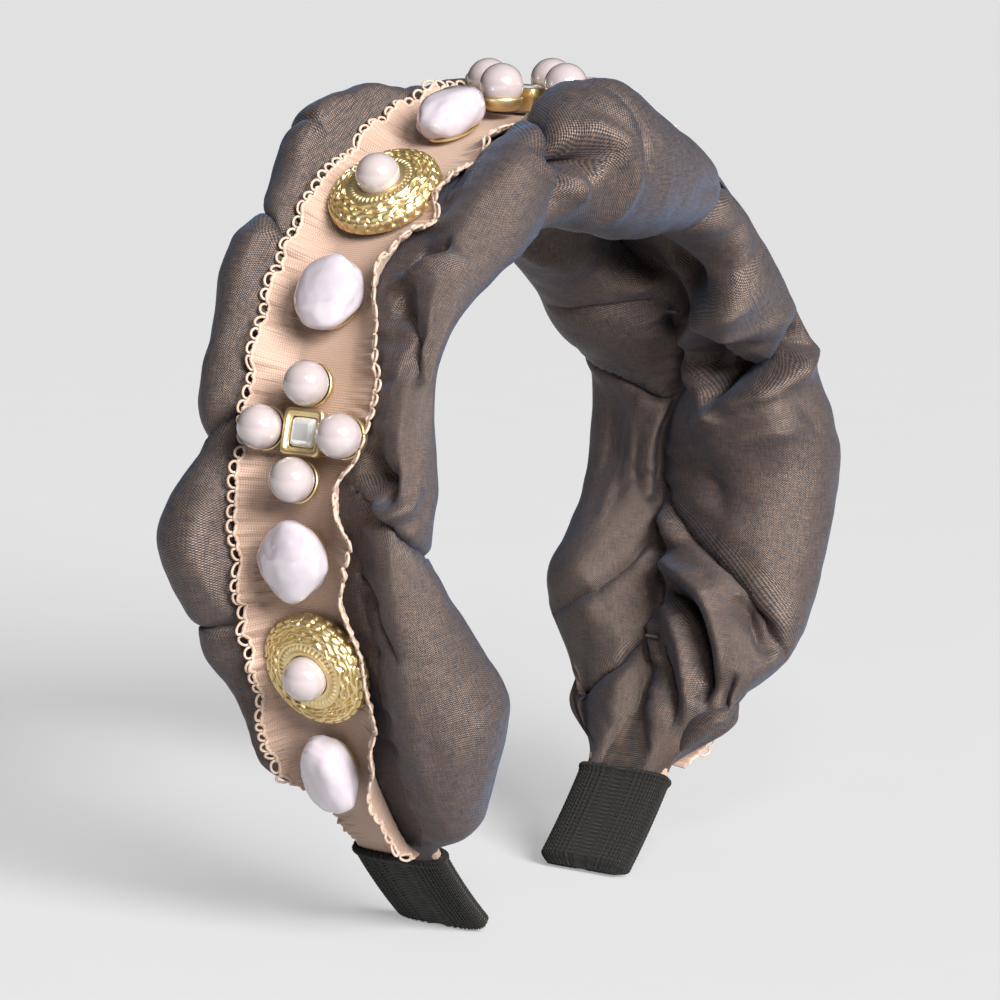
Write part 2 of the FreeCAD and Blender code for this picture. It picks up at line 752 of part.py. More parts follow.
make_hoop_core()
make_hoop_wrap()
make_pleated_cover()
make_trim()
make_sleeve("left_tip_sleeve", -1)
make_sleeve("right_tip_sleeve", 1)
make_stitches()
make_ornaments()
doc.recompute()
check_document()
write_parts()
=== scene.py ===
"""A ruched headband on a pale floor: taffeta cover, picot trim, pearls, gilt medallions and knitted tips.

Lengths on the object are in millimetres: "arc" along the hoop's centre line from the crown, positive to +X,
"height" outward from it, "across" along Y, and "reach" over the cover from under the trim's edge (0), round
the outside of the band, to the seam inside it (SECTION_LENGTH).
"""

import math

import bpy
import numpy as np
from mathutils import Matrix, Vector, noise


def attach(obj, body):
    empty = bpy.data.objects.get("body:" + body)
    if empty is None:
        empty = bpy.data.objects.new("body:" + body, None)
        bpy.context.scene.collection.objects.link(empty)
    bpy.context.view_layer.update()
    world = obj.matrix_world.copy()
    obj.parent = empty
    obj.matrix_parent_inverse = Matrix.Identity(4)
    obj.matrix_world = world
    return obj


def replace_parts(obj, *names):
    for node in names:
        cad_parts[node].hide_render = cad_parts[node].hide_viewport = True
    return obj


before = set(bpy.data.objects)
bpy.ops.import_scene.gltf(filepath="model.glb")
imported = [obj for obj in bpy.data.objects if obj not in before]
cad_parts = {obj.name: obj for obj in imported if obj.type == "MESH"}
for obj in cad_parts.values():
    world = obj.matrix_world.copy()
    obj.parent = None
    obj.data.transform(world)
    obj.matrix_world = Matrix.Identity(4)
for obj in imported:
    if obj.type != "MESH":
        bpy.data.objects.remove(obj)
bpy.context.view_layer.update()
MM = 0.001

# ----- the hoop's centre line, as in the CAD

CROWN_HEIGHT = 144.75  # of its top above the floor
CROWN_RADIUS = 64.5
SHOULDER = math.radians(105.5)  # from here down the legs are straighter
LEG_RADIUS = 128.0
SLEEVE_MOUTH = 170.6  # the arc where each knitted sleeve begins
TIP_ARC = 193.2  # the arc of each tip


def on_band(arc, height, across):
    """World positions, in metres, of points given on the band, in millimetres."""
    arc, height, across = np.broadcast_arrays(*(np.asarray(v, float) for v in (arc, height, across)))
    angle = np.abs(arc) / CROWN_RADIUS
    below = angle > SHOULDER
    angle = np.where(below, SHOULDER + (np.abs(arc) - CROWN_RADIUS * SHOULDER) / LEG_RADIUS, angle)
    radius = np.where(below, LEG_RADIUS, CROWN_RADIUS)
    step = radius - CROWN_RADIUS
    x = (radius + height) * np.sin(angle) - step * math.sin(SHOULDER)
    z = (radius + height) * np.cos(angle) - step * math.cos(SHOULDER) + CROWN_HEIGHT - CROWN_RADIUS
    return np.stack([np.where(arc < 0, -x, x), across, z], axis=-1) * MM


# ----- meshes


def new_piece(name, vertices, faces, material, smooth=True):
    """A mesh object on the band's body, with one material."""
    mesh = bpy.data.meshes.new(name)
    mesh.from_pydata([tuple(v) for v in vertices], [], [tuple(f) for f in faces])
    mesh.validate()
    mesh.polygons.foreach_set("use_smooth", [smooth] * len(mesh.polygons))
    piece = bpy.data.objects.new(name, mesh)
    bpy.context.scene.collection.objects.link(piece)
    mesh.materials.append(material)
    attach(piece, "root")
    return piece


def grid_faces(rows, columns, wrap=False):
    """Quads of a rows x columns grid of vertices; wrap joins each row's last column to its first."""
    row = np.arange(rows - 1)[:, None] * columns
    column = np.arange(columns if wrap else columns - 1)[None, :]
    after = (column + 1) % columns
    quads = np.stack([row + column, row + after, row + columns + after, row + columns + column], -1)
    return quads.reshape(-1, 4)


def lay_weave(piece, along, across):
    """The UV map that a weave follows, in millimetres."""
    layer = piece.data.uv_layers.new(name="weave")
    loops = np.zeros(len(piece.data.loops), dtype=np.int64)
    piece.data.loops.foreach_get("vertex_index", loops)
    layer.data.foreach_set("uv", np.stack([along.ravel()[loops], across.ravel()[loops]], -1).ravel())


# ----- materials


class Nodes:
    """A short way to write a node material: its methods add a node and give back the socket to read."""

    def __init__(self, name):
        self.material = bpy.data.materials.new(name)
        self.material.use_nodes = True
        self.tree = self.material.node_tree
        self.shader = self.tree.nodes["Principled BSDF"]

    def add(self, kind, links=None, **settings):
        """A new node, with its inputs (by name or number) fed and its own settings set."""
        node = self.tree.nodes.new(kind)
        for key, value in settings.items():
            setattr(node, key, value)
        for socket, source in (links or {}).items():
            self.feed(node.inputs[socket], source)
        return node

    def feed(self, socket, source):
        """Links a socket to another one, or gives it a plain value."""
        if isinstance(source, bpy.types.NodeSocket):
            self.tree.links.new(source, socket)
        else:
            socket.default_value = source

    def math(self, operation, a, b=0.0):
        return self.add("ShaderNodeMath", {0: a, 1: b}, operation=operation).outputs[0]

    def mix(self, factor, a, b):
        """A colour between a (factor 0) and b (factor 1)."""
        return self.add("ShaderNodeMix", {0: factor, 6: a, 7: b}, data_type="RGBA").outputs[2]

    def noise(self, vector, scale, detail):
        links = {"Scale": scale, "Detail": detail, "Vector": vector}
        return self.add("ShaderNodeTexNoise", links).outputs["Fac"]

    def bump(self, height, strength, distance):
        links = {"Height": height, "Strength": strength, "Distance": distance}
        return self.add("ShaderNodeBump", links).outputs["Normal"]

    def set(self, **values):
        """Feeds the shader's inputs, named with _ for a space, and gives back the material."""
        for name, value in values.items():
            self.feed(self.shader.inputs[name.replace("_", " ")], value)
        return self.material


def grey(value):
    """A neutral colour."""
    return (value, value, value, 1.0)


def object_space(nodes):
    """Object coordinates, in metres."""
    return nodes.add("ShaderNodeTexCoord").outputs["Object"]


THREAD_DEPTH = 0.0001  # metres, of the relief of threads and grain


def weave_map(nodes):
    """The weave's UV map, in millimetres."""
    return nodes.add("ShaderNodeUVMap", uv_map="weave").outputs[0]


def thread_waves(nodes, *pitches):
    """A wave from -1 to 1 over each of two sets of threads."""
    split = nodes.add("ShaderNodeSeparateXYZ", {0: weave_map(nodes)})
    return [
        nodes.math("SINE", nodes.math("MULTIPLY", split.outputs[axis], 2 * math.pi / pitch))
        for axis, pitch in zip("XY", pitches)
    ]


def thread_rows(nodes, *pitches):
    """The same waves, from 0 between threads to 1 on a thread's back."""
    waves = thread_waves(nodes, *pitches)
    return [nodes.math("ADD", nodes.math("MULTIPLY", wave, 0.5), 0.5) for wave in waves]


# the noise behind each set of slubs, as its scale along and across the cloth
SLUB_SCALES = ((0.35, 4.5, 1.0), (4.0, 0.45, 1.0))


def taffeta():
    """Shot taffeta: bronze threads one way and slate-blue ones the other, with slubs along both."""
    nodes = Nodes("shot_taffeta")
    weave = weave_map(nodes)
    cloud = nodes.noise(object_space(nodes), 30.0, 3.0)
    over = nodes.math("MULTIPLY", *thread_waves(nodes, 0.52, 0.42))
    slub = nodes.math("ADD", *(
        nodes.noise(nodes.add("ShaderNodeMapping", {"Vector": weave, "Scale": scale}).outputs[0], 1.0, 2.0)
        for scale in SLUB_SCALES
    ))
    bronze_share = nodes.math("ADD", nodes.math("MULTIPLY", over, 0.48), nodes.math("SUBTRACT", slub, 0.60))
    bronze = nodes.mix(cloud, (0.156, 0.097, 0.065, 1), (0.218, 0.138, 0.095, 1))
    slate = nodes.mix(cloud, (0.010, 0.017, 0.026, 1), (0.017, 0.027, 0.040, 1))
    height = nodes.math("ADD", over, slub)
    nodes.set(
        Base_Color=nodes.mix(bronze_share, slate, bronze),
        Roughness=nodes.math("SUBTRACT", 0.54, nodes.math("MULTIPLY", over, 0.12)),
        Metallic=0.5,
        Normal=nodes.bump(height, 0.55, THREAD_DEPTH),
    )
    return nodes.set(Sheen_Weight=0.40, Sheen_Roughness=0.38, Sheen_Tint=(0.05, 0.14, 0.28, 1))


def ribbon():
    """Peach ribbon in a fine plain weave, with a painted highlight where its threads cross."""
    nodes = Nodes("peach_ribbon")
    warp, weft = thread_rows(nodes, 0.42, 0.38)
    cloud = nodes.noise(object_space(nodes), 120.0, 3.0)
    ground = nodes.mix(cloud, (0.25, 0.158, 0.115, 1), (0.37, 0.247, 0.186, 1))
    # painted highlight: the colour is lighter on the raised crossings of the threads
    colour = nodes.mix(nodes.math("MULTIPLY", warp, weft), ground, (0.45, 0.312, 0.24, 1))
    relief = nodes.bump(nodes.math("ADD", warp, weft), 0.4, THREAD_DEPTH)
    nodes.set(Base_Color=colour, Roughness=0.62, Normal=relief)
    return nodes.set(Sheen_Weight=0.25, Sheen_Roughness=0.5, Sheen_Tint=(1.0, 0.85, 0.75, 1))


def cord_thread():
    """The shinier thread of the picot loops."""
    nodes = Nodes("picot_thread")
    fleck = nodes.noise(object_space(nodes), 1500.0, 2.0)
    colour = nodes.mix(fleck, (0.34, 0.22, 0.155, 1), (0.56, 0.42, 0.335, 1))
    nodes.set(Base_Color=colour, Roughness=0.5, Normal=nodes.bump(fleck, 0.4, THREAD_DEPTH))
    return nodes.set(Sheen_Weight=0.3, Sheen_Roughness=0.5, Sheen_Tint=(1.0, 0.9, 0.8, 1))


def knit():
    """Black ribbed knit, with a painted highlight along the backs of its wales."""
    nodes = Nodes("black_knit")
    wales, courses = thread_rows(nodes, 0.9, 0.55)
    fibre = nodes.noise(object_space(nodes), 2200.0, 4.0)
    # painted highlight: lighter along the backs of the wales, broken up by the fibre noise
    lit = nodes.math("MULTIPLY", wales, fibre)
    colour = nodes.mix(lit, (0.002, 0.0018, 0.0015, 1), (0.008, 0.0076, 0.006, 1))
    height = nodes.math("ADD", nodes.math("MULTIPLY", wales, courses), fibre)
    nodes.set(Base_Color=colour, Roughness=0.85, Specular_IOR_Level=0.3)
    nodes.set(Normal=nodes.bump(height, 0.7, 3 * THREAD_DEPTH))
    return nodes.set(Sheen_Weight=0.12, Sheen_Roughness=0.6, Sheen_Tint=(0.55, 0.54, 0.50, 1))


def pearl_coat(name, tint, shade):
    """Glossy lacquer over resin, clouded between a tint and a shade."""
    nodes = Nodes(name)
    space = object_space(nodes)
    cloud = nodes.noise(space, 160.0, 4.0)
    ripple = nodes.noise(space, 420.0, 2.0)
    nodes.set(Base_Color=nodes.mix(cloud, shade, tint), Roughness=0.18)
    nodes.set(Normal=nodes.bump(ripple, 0.05, 4 * THREAD_DEPTH))
    nodes.set(Coat_Weight=1.0, Coat_Roughness=0.05, Coat_IOR=1.8, Specular_IOR_Level=0.6)
    return nodes.set(Subsurface_Weight=0.10, Subsurface_Scale=0.002, Subsurface_Radius=(1.0, 0.8, 0.7))


def gilt():
    """Pale satin gilt, a little redder in patches."""
    nodes = Nodes("gilt")
    space = object_space(nodes)
    grain = nodes.noise(space, 1800.0, 4.0)
    patina = nodes.noise(space, 300.0, 3.0)
    colour = nodes.mix(patina, (0.70, 0.53, 0.24, 1), (0.84, 0.69, 0.40, 1))
    rough = nodes.math("ADD", nodes.math("MULTIPLY", grain, 0.18), 0.32)
    nodes.set(Base_Color=colour, Metallic=1.0, Roughness=rough)
    return nodes.set(Normal=nodes.bump(grain, 0.12, THREAD_DEPTH))


def crystal():
    """Clear cut stone, bright in itself and faintly smeared."""
    nodes = Nodes("cut_crystal")
    smear = nodes.noise(object_space(nodes), 700.0, 2.0)
    nodes.set(Base_Color=(0.97, 0.96, 0.95, 1), Roughness=nodes.math("MULTIPLY", smear, 0.03))
    return nodes.set(Transmission_Weight=0.6, IOR=2.0, Coat_Weight=0.5)


def plain_matter(name, dark, light, roughness):
    """A plain moulded or set material with a mottle."""
    nodes = Nodes(name)
    mottle = nodes.noise(object_space(nodes), 500.0, 3.0)
    nodes.set(Base_Color=nodes.mix(mottle, dark, light), Roughness=roughness)
    return nodes.set(Normal=nodes.bump(mottle, 0.15, 2 * THREAD_DEPTH))


TAFFETA = taffeta()
RIBBON = ribbon()
PICOT = cord_thread()
KNIT = knit()
PEARL = pearl_coat("pearl", (0.43, 0.37, 0.365, 1), (0.32, 0.27, 0.275, 1))
BAROQUE = pearl_coat("baroque_pearl", (0.54, 0.49, 0.525, 1), (0.32, 0.28, 0.32, 1))
GILT = gilt()
CRYSTAL = crystal()
GLUE = plain_matter("set_glue", (0.70, 0.66, 0.52, 1), (0.88, 0.84, 0.72, 1), 0.4)
HOOP = plain_matter("hoop_plastic", (0.55, 0.52, 0.48, 1), (0.70, 0.67, 0.62, 1), 0.5)
THREAD = plain_matter("thread", (0.03, 0.025, 0.025, 1), (0.09, 0.075, 0.07, 1), 0.7)


# ----- the gathered cover

# the section of one lobe, as (across, height), from under the trim's edge round the outside to the seam
SECTION = [
    (5.0, 1.6), (9.0, 1.7), (12.6, 3.2), (16.0, 6.4), (20.5, 7.0), (24.0, 3.4), (24.6, -2.0), (21.6, -6.6),
    (15.5, -8.6), (8.5, -8.4), (3.2, -6.6), (0.4, -2.6),
]
SECTION_LENGTH = 56.0
COVER_END = 171.0  # the cover runs from -COVER_END to COVER_END along the band
COVER_STEP = 0.62  # of its mesh
GATHER = 1.3  # how much cloth is gathered on to each length of band

# how far each lobe stands out from the plain section along the band: its outer and its inner shoulder
FRONT_OUTER = [
    (-171, -4), (-160, -2), (-140, 0), (-120, 0), (-100, -2), (-80, -2), (-60, -2), (-35, 0), (-20, 2),
    (-12, 4.5), (-3, 3), (6, 0), (12, -2.5), (24, -5.8), (34, -7), (45, -7.4), (52, -7), (60, -5),
    (74, -3.2), (81, -0.6), (88, 0), (95, 2.6), (105, 5), (120, 4.2), (138, 2.4), (145, -0.5), (152, -6.5),
    (159, -14), (171, -13),
]
FRONT_INNER = [
    (-171, -8), (-165, -5), (-158, -1.6), (-150, 4), (-143, 8.2), (-138, 10), (-132, 8.4), (-122, 5),
    (-112, -0.4), (-104, -2.4), (-98, -1.6), (-90, -1.6), (-80, -4), (-71, -8.3), (-64, -7), (-56, -3),
    (-45, 0), (-38, 0), (-32, 0.6), (-15, 7.5), (0, 11.5), (14, 11), (24, 8.5), (33, 5.5), (40, 2.5),
    (50, 1), (60, 2), (72, 4), (90, 3.5), (100, 2), (120, 3), (140, 2), (150, -2), (160, -7), (171, -9),
]
BACK_OUTER = [
    (-171, -7), (-160, -4), (-145, -3), (-135, -3), (-126, 0.8), (-118, 2.4), (-110, 5), (-105, 7),
    (-98, 4), (-90, -1.8), (-84, 0.8), (-70, 1.3), (-60, 3.8), (-53, 3.4), (-49, 1.8), (-44, 2.6),
    (-37, 5.0), (-32, 7.6), (-27, 5.4), (-22, 4.4), (-16, 3.8), (-11, 0.8), (-6, 0.4), (10, 2), (20, 1),
    (50, 2), (80, 0), (105, 4), (130, 2), (150, -5), (171, -9),
]
BACK_INNER = [
    (-171, -6), (-150, 0), (-120, 3), (-90, 0), (-60, 1), (-30, 2), (0, 3), (30, 6), (50, 10), (65, 8),
    (76, 6.3), (84, 2.6), (92, -2.4), (98, -4.6), (106, -4.6), (118, 0.4), (134, 5), (141, 3.5), (149, -4),
    (158, -10), (171, -9),
]
# the seam inside the hoop wanders off its middle, towards +Y where this is positive
SEAM = [
    (-171, 0), (40, 0), (50, 4), (57, 5), (63, 0), (68, -3), (76, -3), (84, -1), (91, 2), (97, 6),
    (103, 7.5), (112, 7), (120, 5), (128, 3), (140, 2), (156, 0), (171, 0),
]

# how far the trim's middle wanders across the band
TRIM_MIDDLE = [
    (-160, 1), (-146, 1.5), (-126, 0), (-106, 0.5), (-86, 0), (-63, 2), (-40, 3), (-18, 3), (0, 0), (20, 0),
    (43, 1), (64, 1), (107, -1), (146, 1), (160, 0),
]

# folds: a path over the cloth as (arc, reach) points, how far it stands out (a valley is less than 0), its
# width, and how far the cloth beside it leans over it, from its left if more than 0, from its right if less
FRONT_FOLDS = [
    # the crown: the hollow beside the left puff, the sling with its slot, and the creases from the knot
    ([(-15, 5), (-19, 11), (-24, 17), (-27, 22), (-30, 27), (-34, 33)], -6.5, 2.0, 2.6),
    ([(-26, 19), (-22, 20.5), (-18, 21.5), (-15.5, 24), (-16.5, 27)], 2.8, 1.4, 0),
    ([(-29, 20.5), (-25.5, 21), (-22, 22.5), (-19.5, 26)], -11.0, 2.3, -1.4),
    ([(-31, 26), (-26, 27), (-23, 29)], 1.8, 1.4, 0),
    ([(-12.5, 17), (-11.5, 21), (-12.5, 26), (-15, 32), (-20, 37)], 1.8, 2.0, 0),
    ([(-9, 12), (-8, 20), (-11, 28)], -3.0, 1.8, 1.2),
    ([(38, 27), (28, 25), (18, 21), (9, 20)], -1.3, 1.3, 0.6),
    ([(38, 28), (26, 30), (12, 31)], -1.4, 1.3, 0.6),
    ([(38, 29), (31, 34), (20, 41)], -1.2, 1.5, 0.6),
    ([(40.5, 20), (39.5, 24.5), (38, 28.5), (35.5, 33), (33, 40), (34, 52)], -7.5, 1.8, 2.2),
    # the left leg's upper half: a lit ridge over a concave pocket
    ([(-53, 0), (-53.5, 4), (-53, 9), (-51, 15)], -6.0, 1.9, -1.0),
    ([(-60, -1), (-57.5, 3), (-57.3, 7), (-57, 11), (-55.5, 15), (-53, 20)], 3.0, 1.2, 0),
    ([(-59, 4), (-63, 7), (-67, 11), (-71, 15), (-76, 20)], -5.5, 1.9, 0),
    ([(-58, 1), (-61, 4.5), (-65, 8.5), (-69, 13.5), (-73, 20)], 2.4, 1.1, 0),
    # its lower half: the dark pocket, the sling under it, and the top of the lowest bulge
    ([(-88, 5), (-91, 9), (-93, 13.5), (-92.5, 18)], -6.5, 1.8, 0),
    ([(-90, 0), (-94, 4), (-96.5, 9), (-97.5, 15), (-96, 20), (-92, 23)], 2.8, 0.9, 0),
    ([(-92, 0), (-96, 7), (-99.8, 13.5), (-103.3, 21), (-106, 29), (-107, 36)], -4.5, 1.0, 1.6),
    ([(-106, 2), (-111, 7), (-117, 11), (-122, 16)], -2.0, 1.2, 0.8),
    ([(-110, 3), (-118, 6), (-128, 8)], -1.4, 1.0, 0.5),
    ([(-170, 3), (-158, 3), (-146, 4)], 2.6, 3.4, 0),
    # the right leg's upper half, seen from inside: the roll between its two dark pockets
    ([(44, 58), (52, 51), (58, 46), (63, 42)], -12.0, 4.6, 0),
    ([(46, 30), (54, 34), (60, 37), (66, 42), (72, 48), (78, 52.5), (84, 53.5), (90, 51)], 4.2, 2.4, 0),
    ([(92, 46), (87, 42), (83.5, 36.5), (81, 30), (79.5, 22)], -14.0, 4.4, 2.4),
    ([(87, 50), (82, 46), (79, 40)], -8.5, 3.8, 0),
    ([(90, 44), (85.5, 40.5), (81.5, 35), (79, 28)], -1.0, 4.0, -3.0),
    ([(97, 47), (92, 41.5), (89, 36), (86.5, 31), (84.5, 26), (83.5, 20)], 5.0, 1.4, 0),
    ([(106, 46), (100, 40), (96, 34), (94, 29)], 5.0, 5.0, 0),
    ([(54, 33), (62, 35.5), (68, 37.5), (73, 39)], 6.5, 4.2, 0),
    ([(60, 20), (66, 22), (72, 21)], -1.6, 1.6, 0.6),
    ([(97, 46), (104, 44), (112, 42), (119, 40)], -1.4, 2.0, 0),
    # its lower half: the diagonal overlap, the band below it and the loops gathered at the foot
    ([(110, 57), (115, 52), (120.5, 46.5), (126, 40), (131, 34), (136, 28.5), (143, 22)], -6.5, 1.5, -2.6),
    ([(127, 55), (129.5, 50), (132, 45), (135, 41.5), (139, 39.5), (145, 37.5), (151, 36.5), (157, 38)],
     4.6, 1.6, 0),
    ([(134, 37), (139, 31.5), (143, 26)], -6.5, 2.3, 0),
    ([(115, 55), (120, 51.5), (125, 50)], 2.5, 1.8, 0),
    ([(137, 56), (143, 54.5), (149, 53)], 4.0, 1.8, 0),
    ([(133, 52), (136, 47), (140, 43.5), (146, 41), (152, 39.5), (156, 41)], -7.0, 1.7, 1.2),
    ([(137, 52), (140, 48), (146, 45), (152, 43.5), (162, 42)], 3.0, 1.1, 0),
    ([(142, 54), (148, 51), (154, 48), (162, 46)], -4.0, 1.3, 0.6),
    ([(149, 34), (153, 35), (157, 34)], -4.0, 1.1, 0.8),
    ([(154, 30), (160, 33), (168, 36)], 1.8, 1.0, 0),
    # the far side of the right leg
    ([(52, 4), (50, 11), (51, 19)], -2.4, 1.6, 1.0),
    ([(80, 5), (79, 11), (80, 17)], -3.0, 1.6, 1.2),
    ([(110, 5), (114, 12), (116, 20)], -1.8, 1.6, 0.6),
    ([(140, 5), (137, 12), (139, 19)], -2.2, 1.5, 0.8),
    # inside the left leg and under the crown
    ([(-60, 50), (-66, 42), (-70, 33)], -2.6, 1.8, 1.0),
    ([(-88, 52), (-92, 44), (-90, 34)], -2.2, 1.8, 0.8),
    ([(-125, 50), (-120, 42), (-121, 33)], -2.4, 1.8, 0.8),
    ([(-150, 50), (-147, 42), (-150, 34)], -1.8, 1.5, 0.6),
    ([(-20, 52), (-16, 45), (-20, 38)], -2.2, 1.8, 0.8),
    ([(12, 54), (16, 47), (12, 41)], -2.0, 1.8, 0.8),
]
BACK_FOLDS = [
    ([(-55, 9), (-53, 14), (-50.5, 19), (-47, 26), (-47, 34)], -4.5, 1.1, 1.6),
    ([(-32.5, 14), (-33, 18.5), (-33, 24)], -3.4, 1.0, 1.0),
    ([(-83, 6), (-86, 12), (-89, 19), (-91, 27)], -3.4, 1.1, 1.4),
    ([(-119, 10), (-120, 16), (-122, 24)], -2.6, 1.1, 1.0),
    ([(-12, 8), (-11, 13), (-9, 19)], -1.8, 1.4, 0.8),
    ([(-4, 6), (-2, 13), (-3, 22)], -2.2, 1.6, -0.8),
    ([(18, 6), (16, 13), (19, 22)], -3.0, 1.6, 1.0),
    ([(45, 6), (47, 13), (44, 22)], -2.8, 1.6, 1.0),
    ([(68, 6), (66, 14), (69, 24)], -3.4, 1.6, -1.2),
    ([(96, 6), (99, 14), (97, 24)], -2.8, 1.6, 1.0),
    ([(124, 6), (121, 14), (124, 24)], -2.8, 1.6, -1.0),
    ([(38, 36), (46, 42), (56, 47), (66, 51)], 2.6, 3.0, 0),
    ([(42, 58), (50, 55), (57, 53), (64, 54)], -12.0, 4.2, 0),
    ([(67, 34), (66, 41), (68, 47), (71, 54)], -2.4, 1.6, 0.8),
    ([(73, 50), (76, 52), (78, 55)], -3.0, 1.2, 0),
    ([(83, 27), (85.5, 33), (88, 41), (91.5, 50), (94, 56)], -6.5, 1.3, 2.4),
    ([(93, 54.5), (100, 53), (108, 52.5), (116, 53)], 3.6, 1.1, 0),
    ([(142, 30), (140, 36), (137, 42), (131, 47), (122, 55)], -4.2, 2.2, -1.0),
    ([(158, 18), (155, 28), (153.6, 40), (149.5, 49), (143.5, 56)], -6.0, 1.1, 2.0),
    ([(160, 30), (164, 38), (168, 46)], -1.2, 1.0, 0.4),
    ([(-30, 50), (-34, 42), (-31, 33)], -2.4, 1.8, 1.0),
    ([(-75, 50), (-70, 42), (-73, 33)], -2.6, 1.8, -1.0),
    ([(-105, 50), (-108, 42), (-104, 33)], -2.6, 1.8, 1.0),
    ([(4, 50), (8, 42), (5, 34)], -2.2, 1.8, 0.8),
]


def smooth_profile(keys, at, blur=3.0):
    """Reads a profile of (arc, value) keys, rounded at its keys."""
    offsets = np.linspace(-2, 2, 9)
    weights = np.exp(-offsets ** 2)
    places, values = zip(*keys)
    total = sum(w * np.interp(at + blur * o, places, values) for o, w in zip(offsets, weights))
    return total / weights.sum()


def ease(value, low, high):
    """0 up to low, 1 from high on, smooth between."""
    t = np.clip((value - low) / (high - low), 0, 1)
    return t * t * (3 - 2 * t)


def hump(distance, half_width):
    """A smooth hump, 1 at distance 0 and 0 from half_width on."""
    return np.cos(np.clip(distance / half_width, -1, 1) * math.pi / 2) ** 2


def catmull_rom(values, at):
    """A smooth curve through the values, read at places counted in values from the first."""
    low = np.clip(at.astype(int), 0, len(values) - 2)
    t = at - low
    padded = np.concatenate([[2 * values[0] - values[1]], values, [2 * values[-1] - values[-2]]])
    a, b, c, d = (padded[low + i] for i in range(4))
    square, cube = 2 * a - 5 * b + 4 * c - d, 3 * b - a - 3 * c + d
    return 0.5 * (2 * b + (c - a) * t + square * t ** 2 + cube * t ** 3)


def lobe_section(reach):
    """The plain section of a lobe at distances along it, and the direction out of the cloth there."""
    points = np.array(SECTION)
    fine = np.linspace(0, len(points) - 1, 400)
    curve = np.stack([catmull_rom(points[:, axis], fine) for axis in (0, 1)], -1)
    lengths = np.concatenate([[0], np.cumsum(np.linalg.norm(np.diff(curve, axis=0), axis=1))])
    tangent = np.gradient(curve, axis=0)
    tangent /= np.linalg.norm(tangent, axis=-1, keepdims=True)
    share = reach / SECTION_LENGTH * lengths[-1]
    read = [[np.interp(share, lengths, track[:, axis]) for axis in (0, 1)] for track in (curve, tangent)]
    (across, height), (run, rise) = read
    return across, height, -rise, run


def along_path(path, arc, reach):
    """Where every point lies about a path: its distance, its side, the way to the path, and how far along."""
    best = np.full(arc.shape, 1e9)
    side, share, way_a, way_r = (np.zeros(arc.shape) for _ in range(4))
    spans = len(path) - 1
    for i, ((a0, r0), (a1, r1)) in enumerate(zip(path, path[1:])):
        da, dr = a1 - a0, r1 - r0
        t = np.clip(((arc - a0) * da + (reach - r0) * dr) / (da * da + dr * dr), 0, 1)
        x, y = arc - a0 - t * da, reach - r0 - t * dr
        d = np.hypot(x, y)
        nearer = d < best
        best = np.where(nearer, d, best)
        side = np.where(nearer, np.sign(da * y - dr * x), side)
        share = np.where(nearer, (i + t) / spans, share)
        length = math.hypot(da, dr)
        way_a, way_r = np.where(nearer, dr / length, way_a), np.where(nearer, -da / length, way_r)
    return best, side, share, way_a, way_r


DEEP_VALLEY = -8  # a fold below this has steep walls


def fold_offsets(folds, arc, reach):
    """How far all folds together move the cloth out of itself and along itself, in millimetres."""
    outward, shift_a, shift_r = (np.zeros(arc.shape) for _ in range(3))
    for path, stand, width, lean in folds:
        distance, side, share, way_a, way_r = along_path(path, arc, reach)
        taper = np.clip(5 * share * (1 - share), 0, 1) ** 0.8
        # a ridge is rounder on its crest than a valley is at its bottom
        crest, power = (0.7, 1.35) if stand > 0 else (0.35, 1.1 if stand > DEEP_VALLEY else 2.0)
        blunted = np.hypot(distance, crest) - crest
        outward += stand * taper * np.exp(-(blunted / width) ** power)
        if lean:
            wall = distance / width * np.exp(1 - (distance / width) ** 2) * taper
            wall = wall * (side * lean > 0) * abs(lean)
            shift_a += wall * way_a * np.sign(lean)
            shift_r += wall * way_r * np.sign(lean)
            outward += 0.5 * wall
    return outward, shift_a, shift_r


def crumple(arc, reach, side):
    """Fine irregularity: broad softness, small wrinkles, and pleats that run in from trim and seam."""
    broad, small = np.empty(arc.shape), np.empty(arc.shape)
    for index, (a, r) in enumerate(zip(arc.ravel(), reach.ravel())):
        place = Vector((a * 0.055, r * 0.075, side * 7.3))
        broad.flat[index] = noise.noise(place)
        small.flat[index] = noise.noise(place * 3.3)
    wander = arc + 1.6 * np.sin(arc / 7.3 + side) + 2.2 * np.sin(arc / 17.0 + 2 * side) + reach * 0.15 * broad
    pleats = np.sin(wander * 0.95) * 0.6 + np.sin(wander * 1.63 + 1.0) * 0.4
    fade = np.exp(-np.maximum(reach - 7, 0) / 5.0) + 1.2 * np.exp(-(SECTION_LENGTH - reach) / 6.0)
    return 1.1 * broad + 0.35 * small + 0.55 * pleats * np.clip(fade, 0, 1)


WRAP_HALF, WRAP_TOP, WRAP_UNDER = 10.2, 1.75, -2.0  # the space that the wrapped hoop takes up
TRIM_UNDERSIDE = 2.1  # the height of the trim's underside, which rises towards its edges


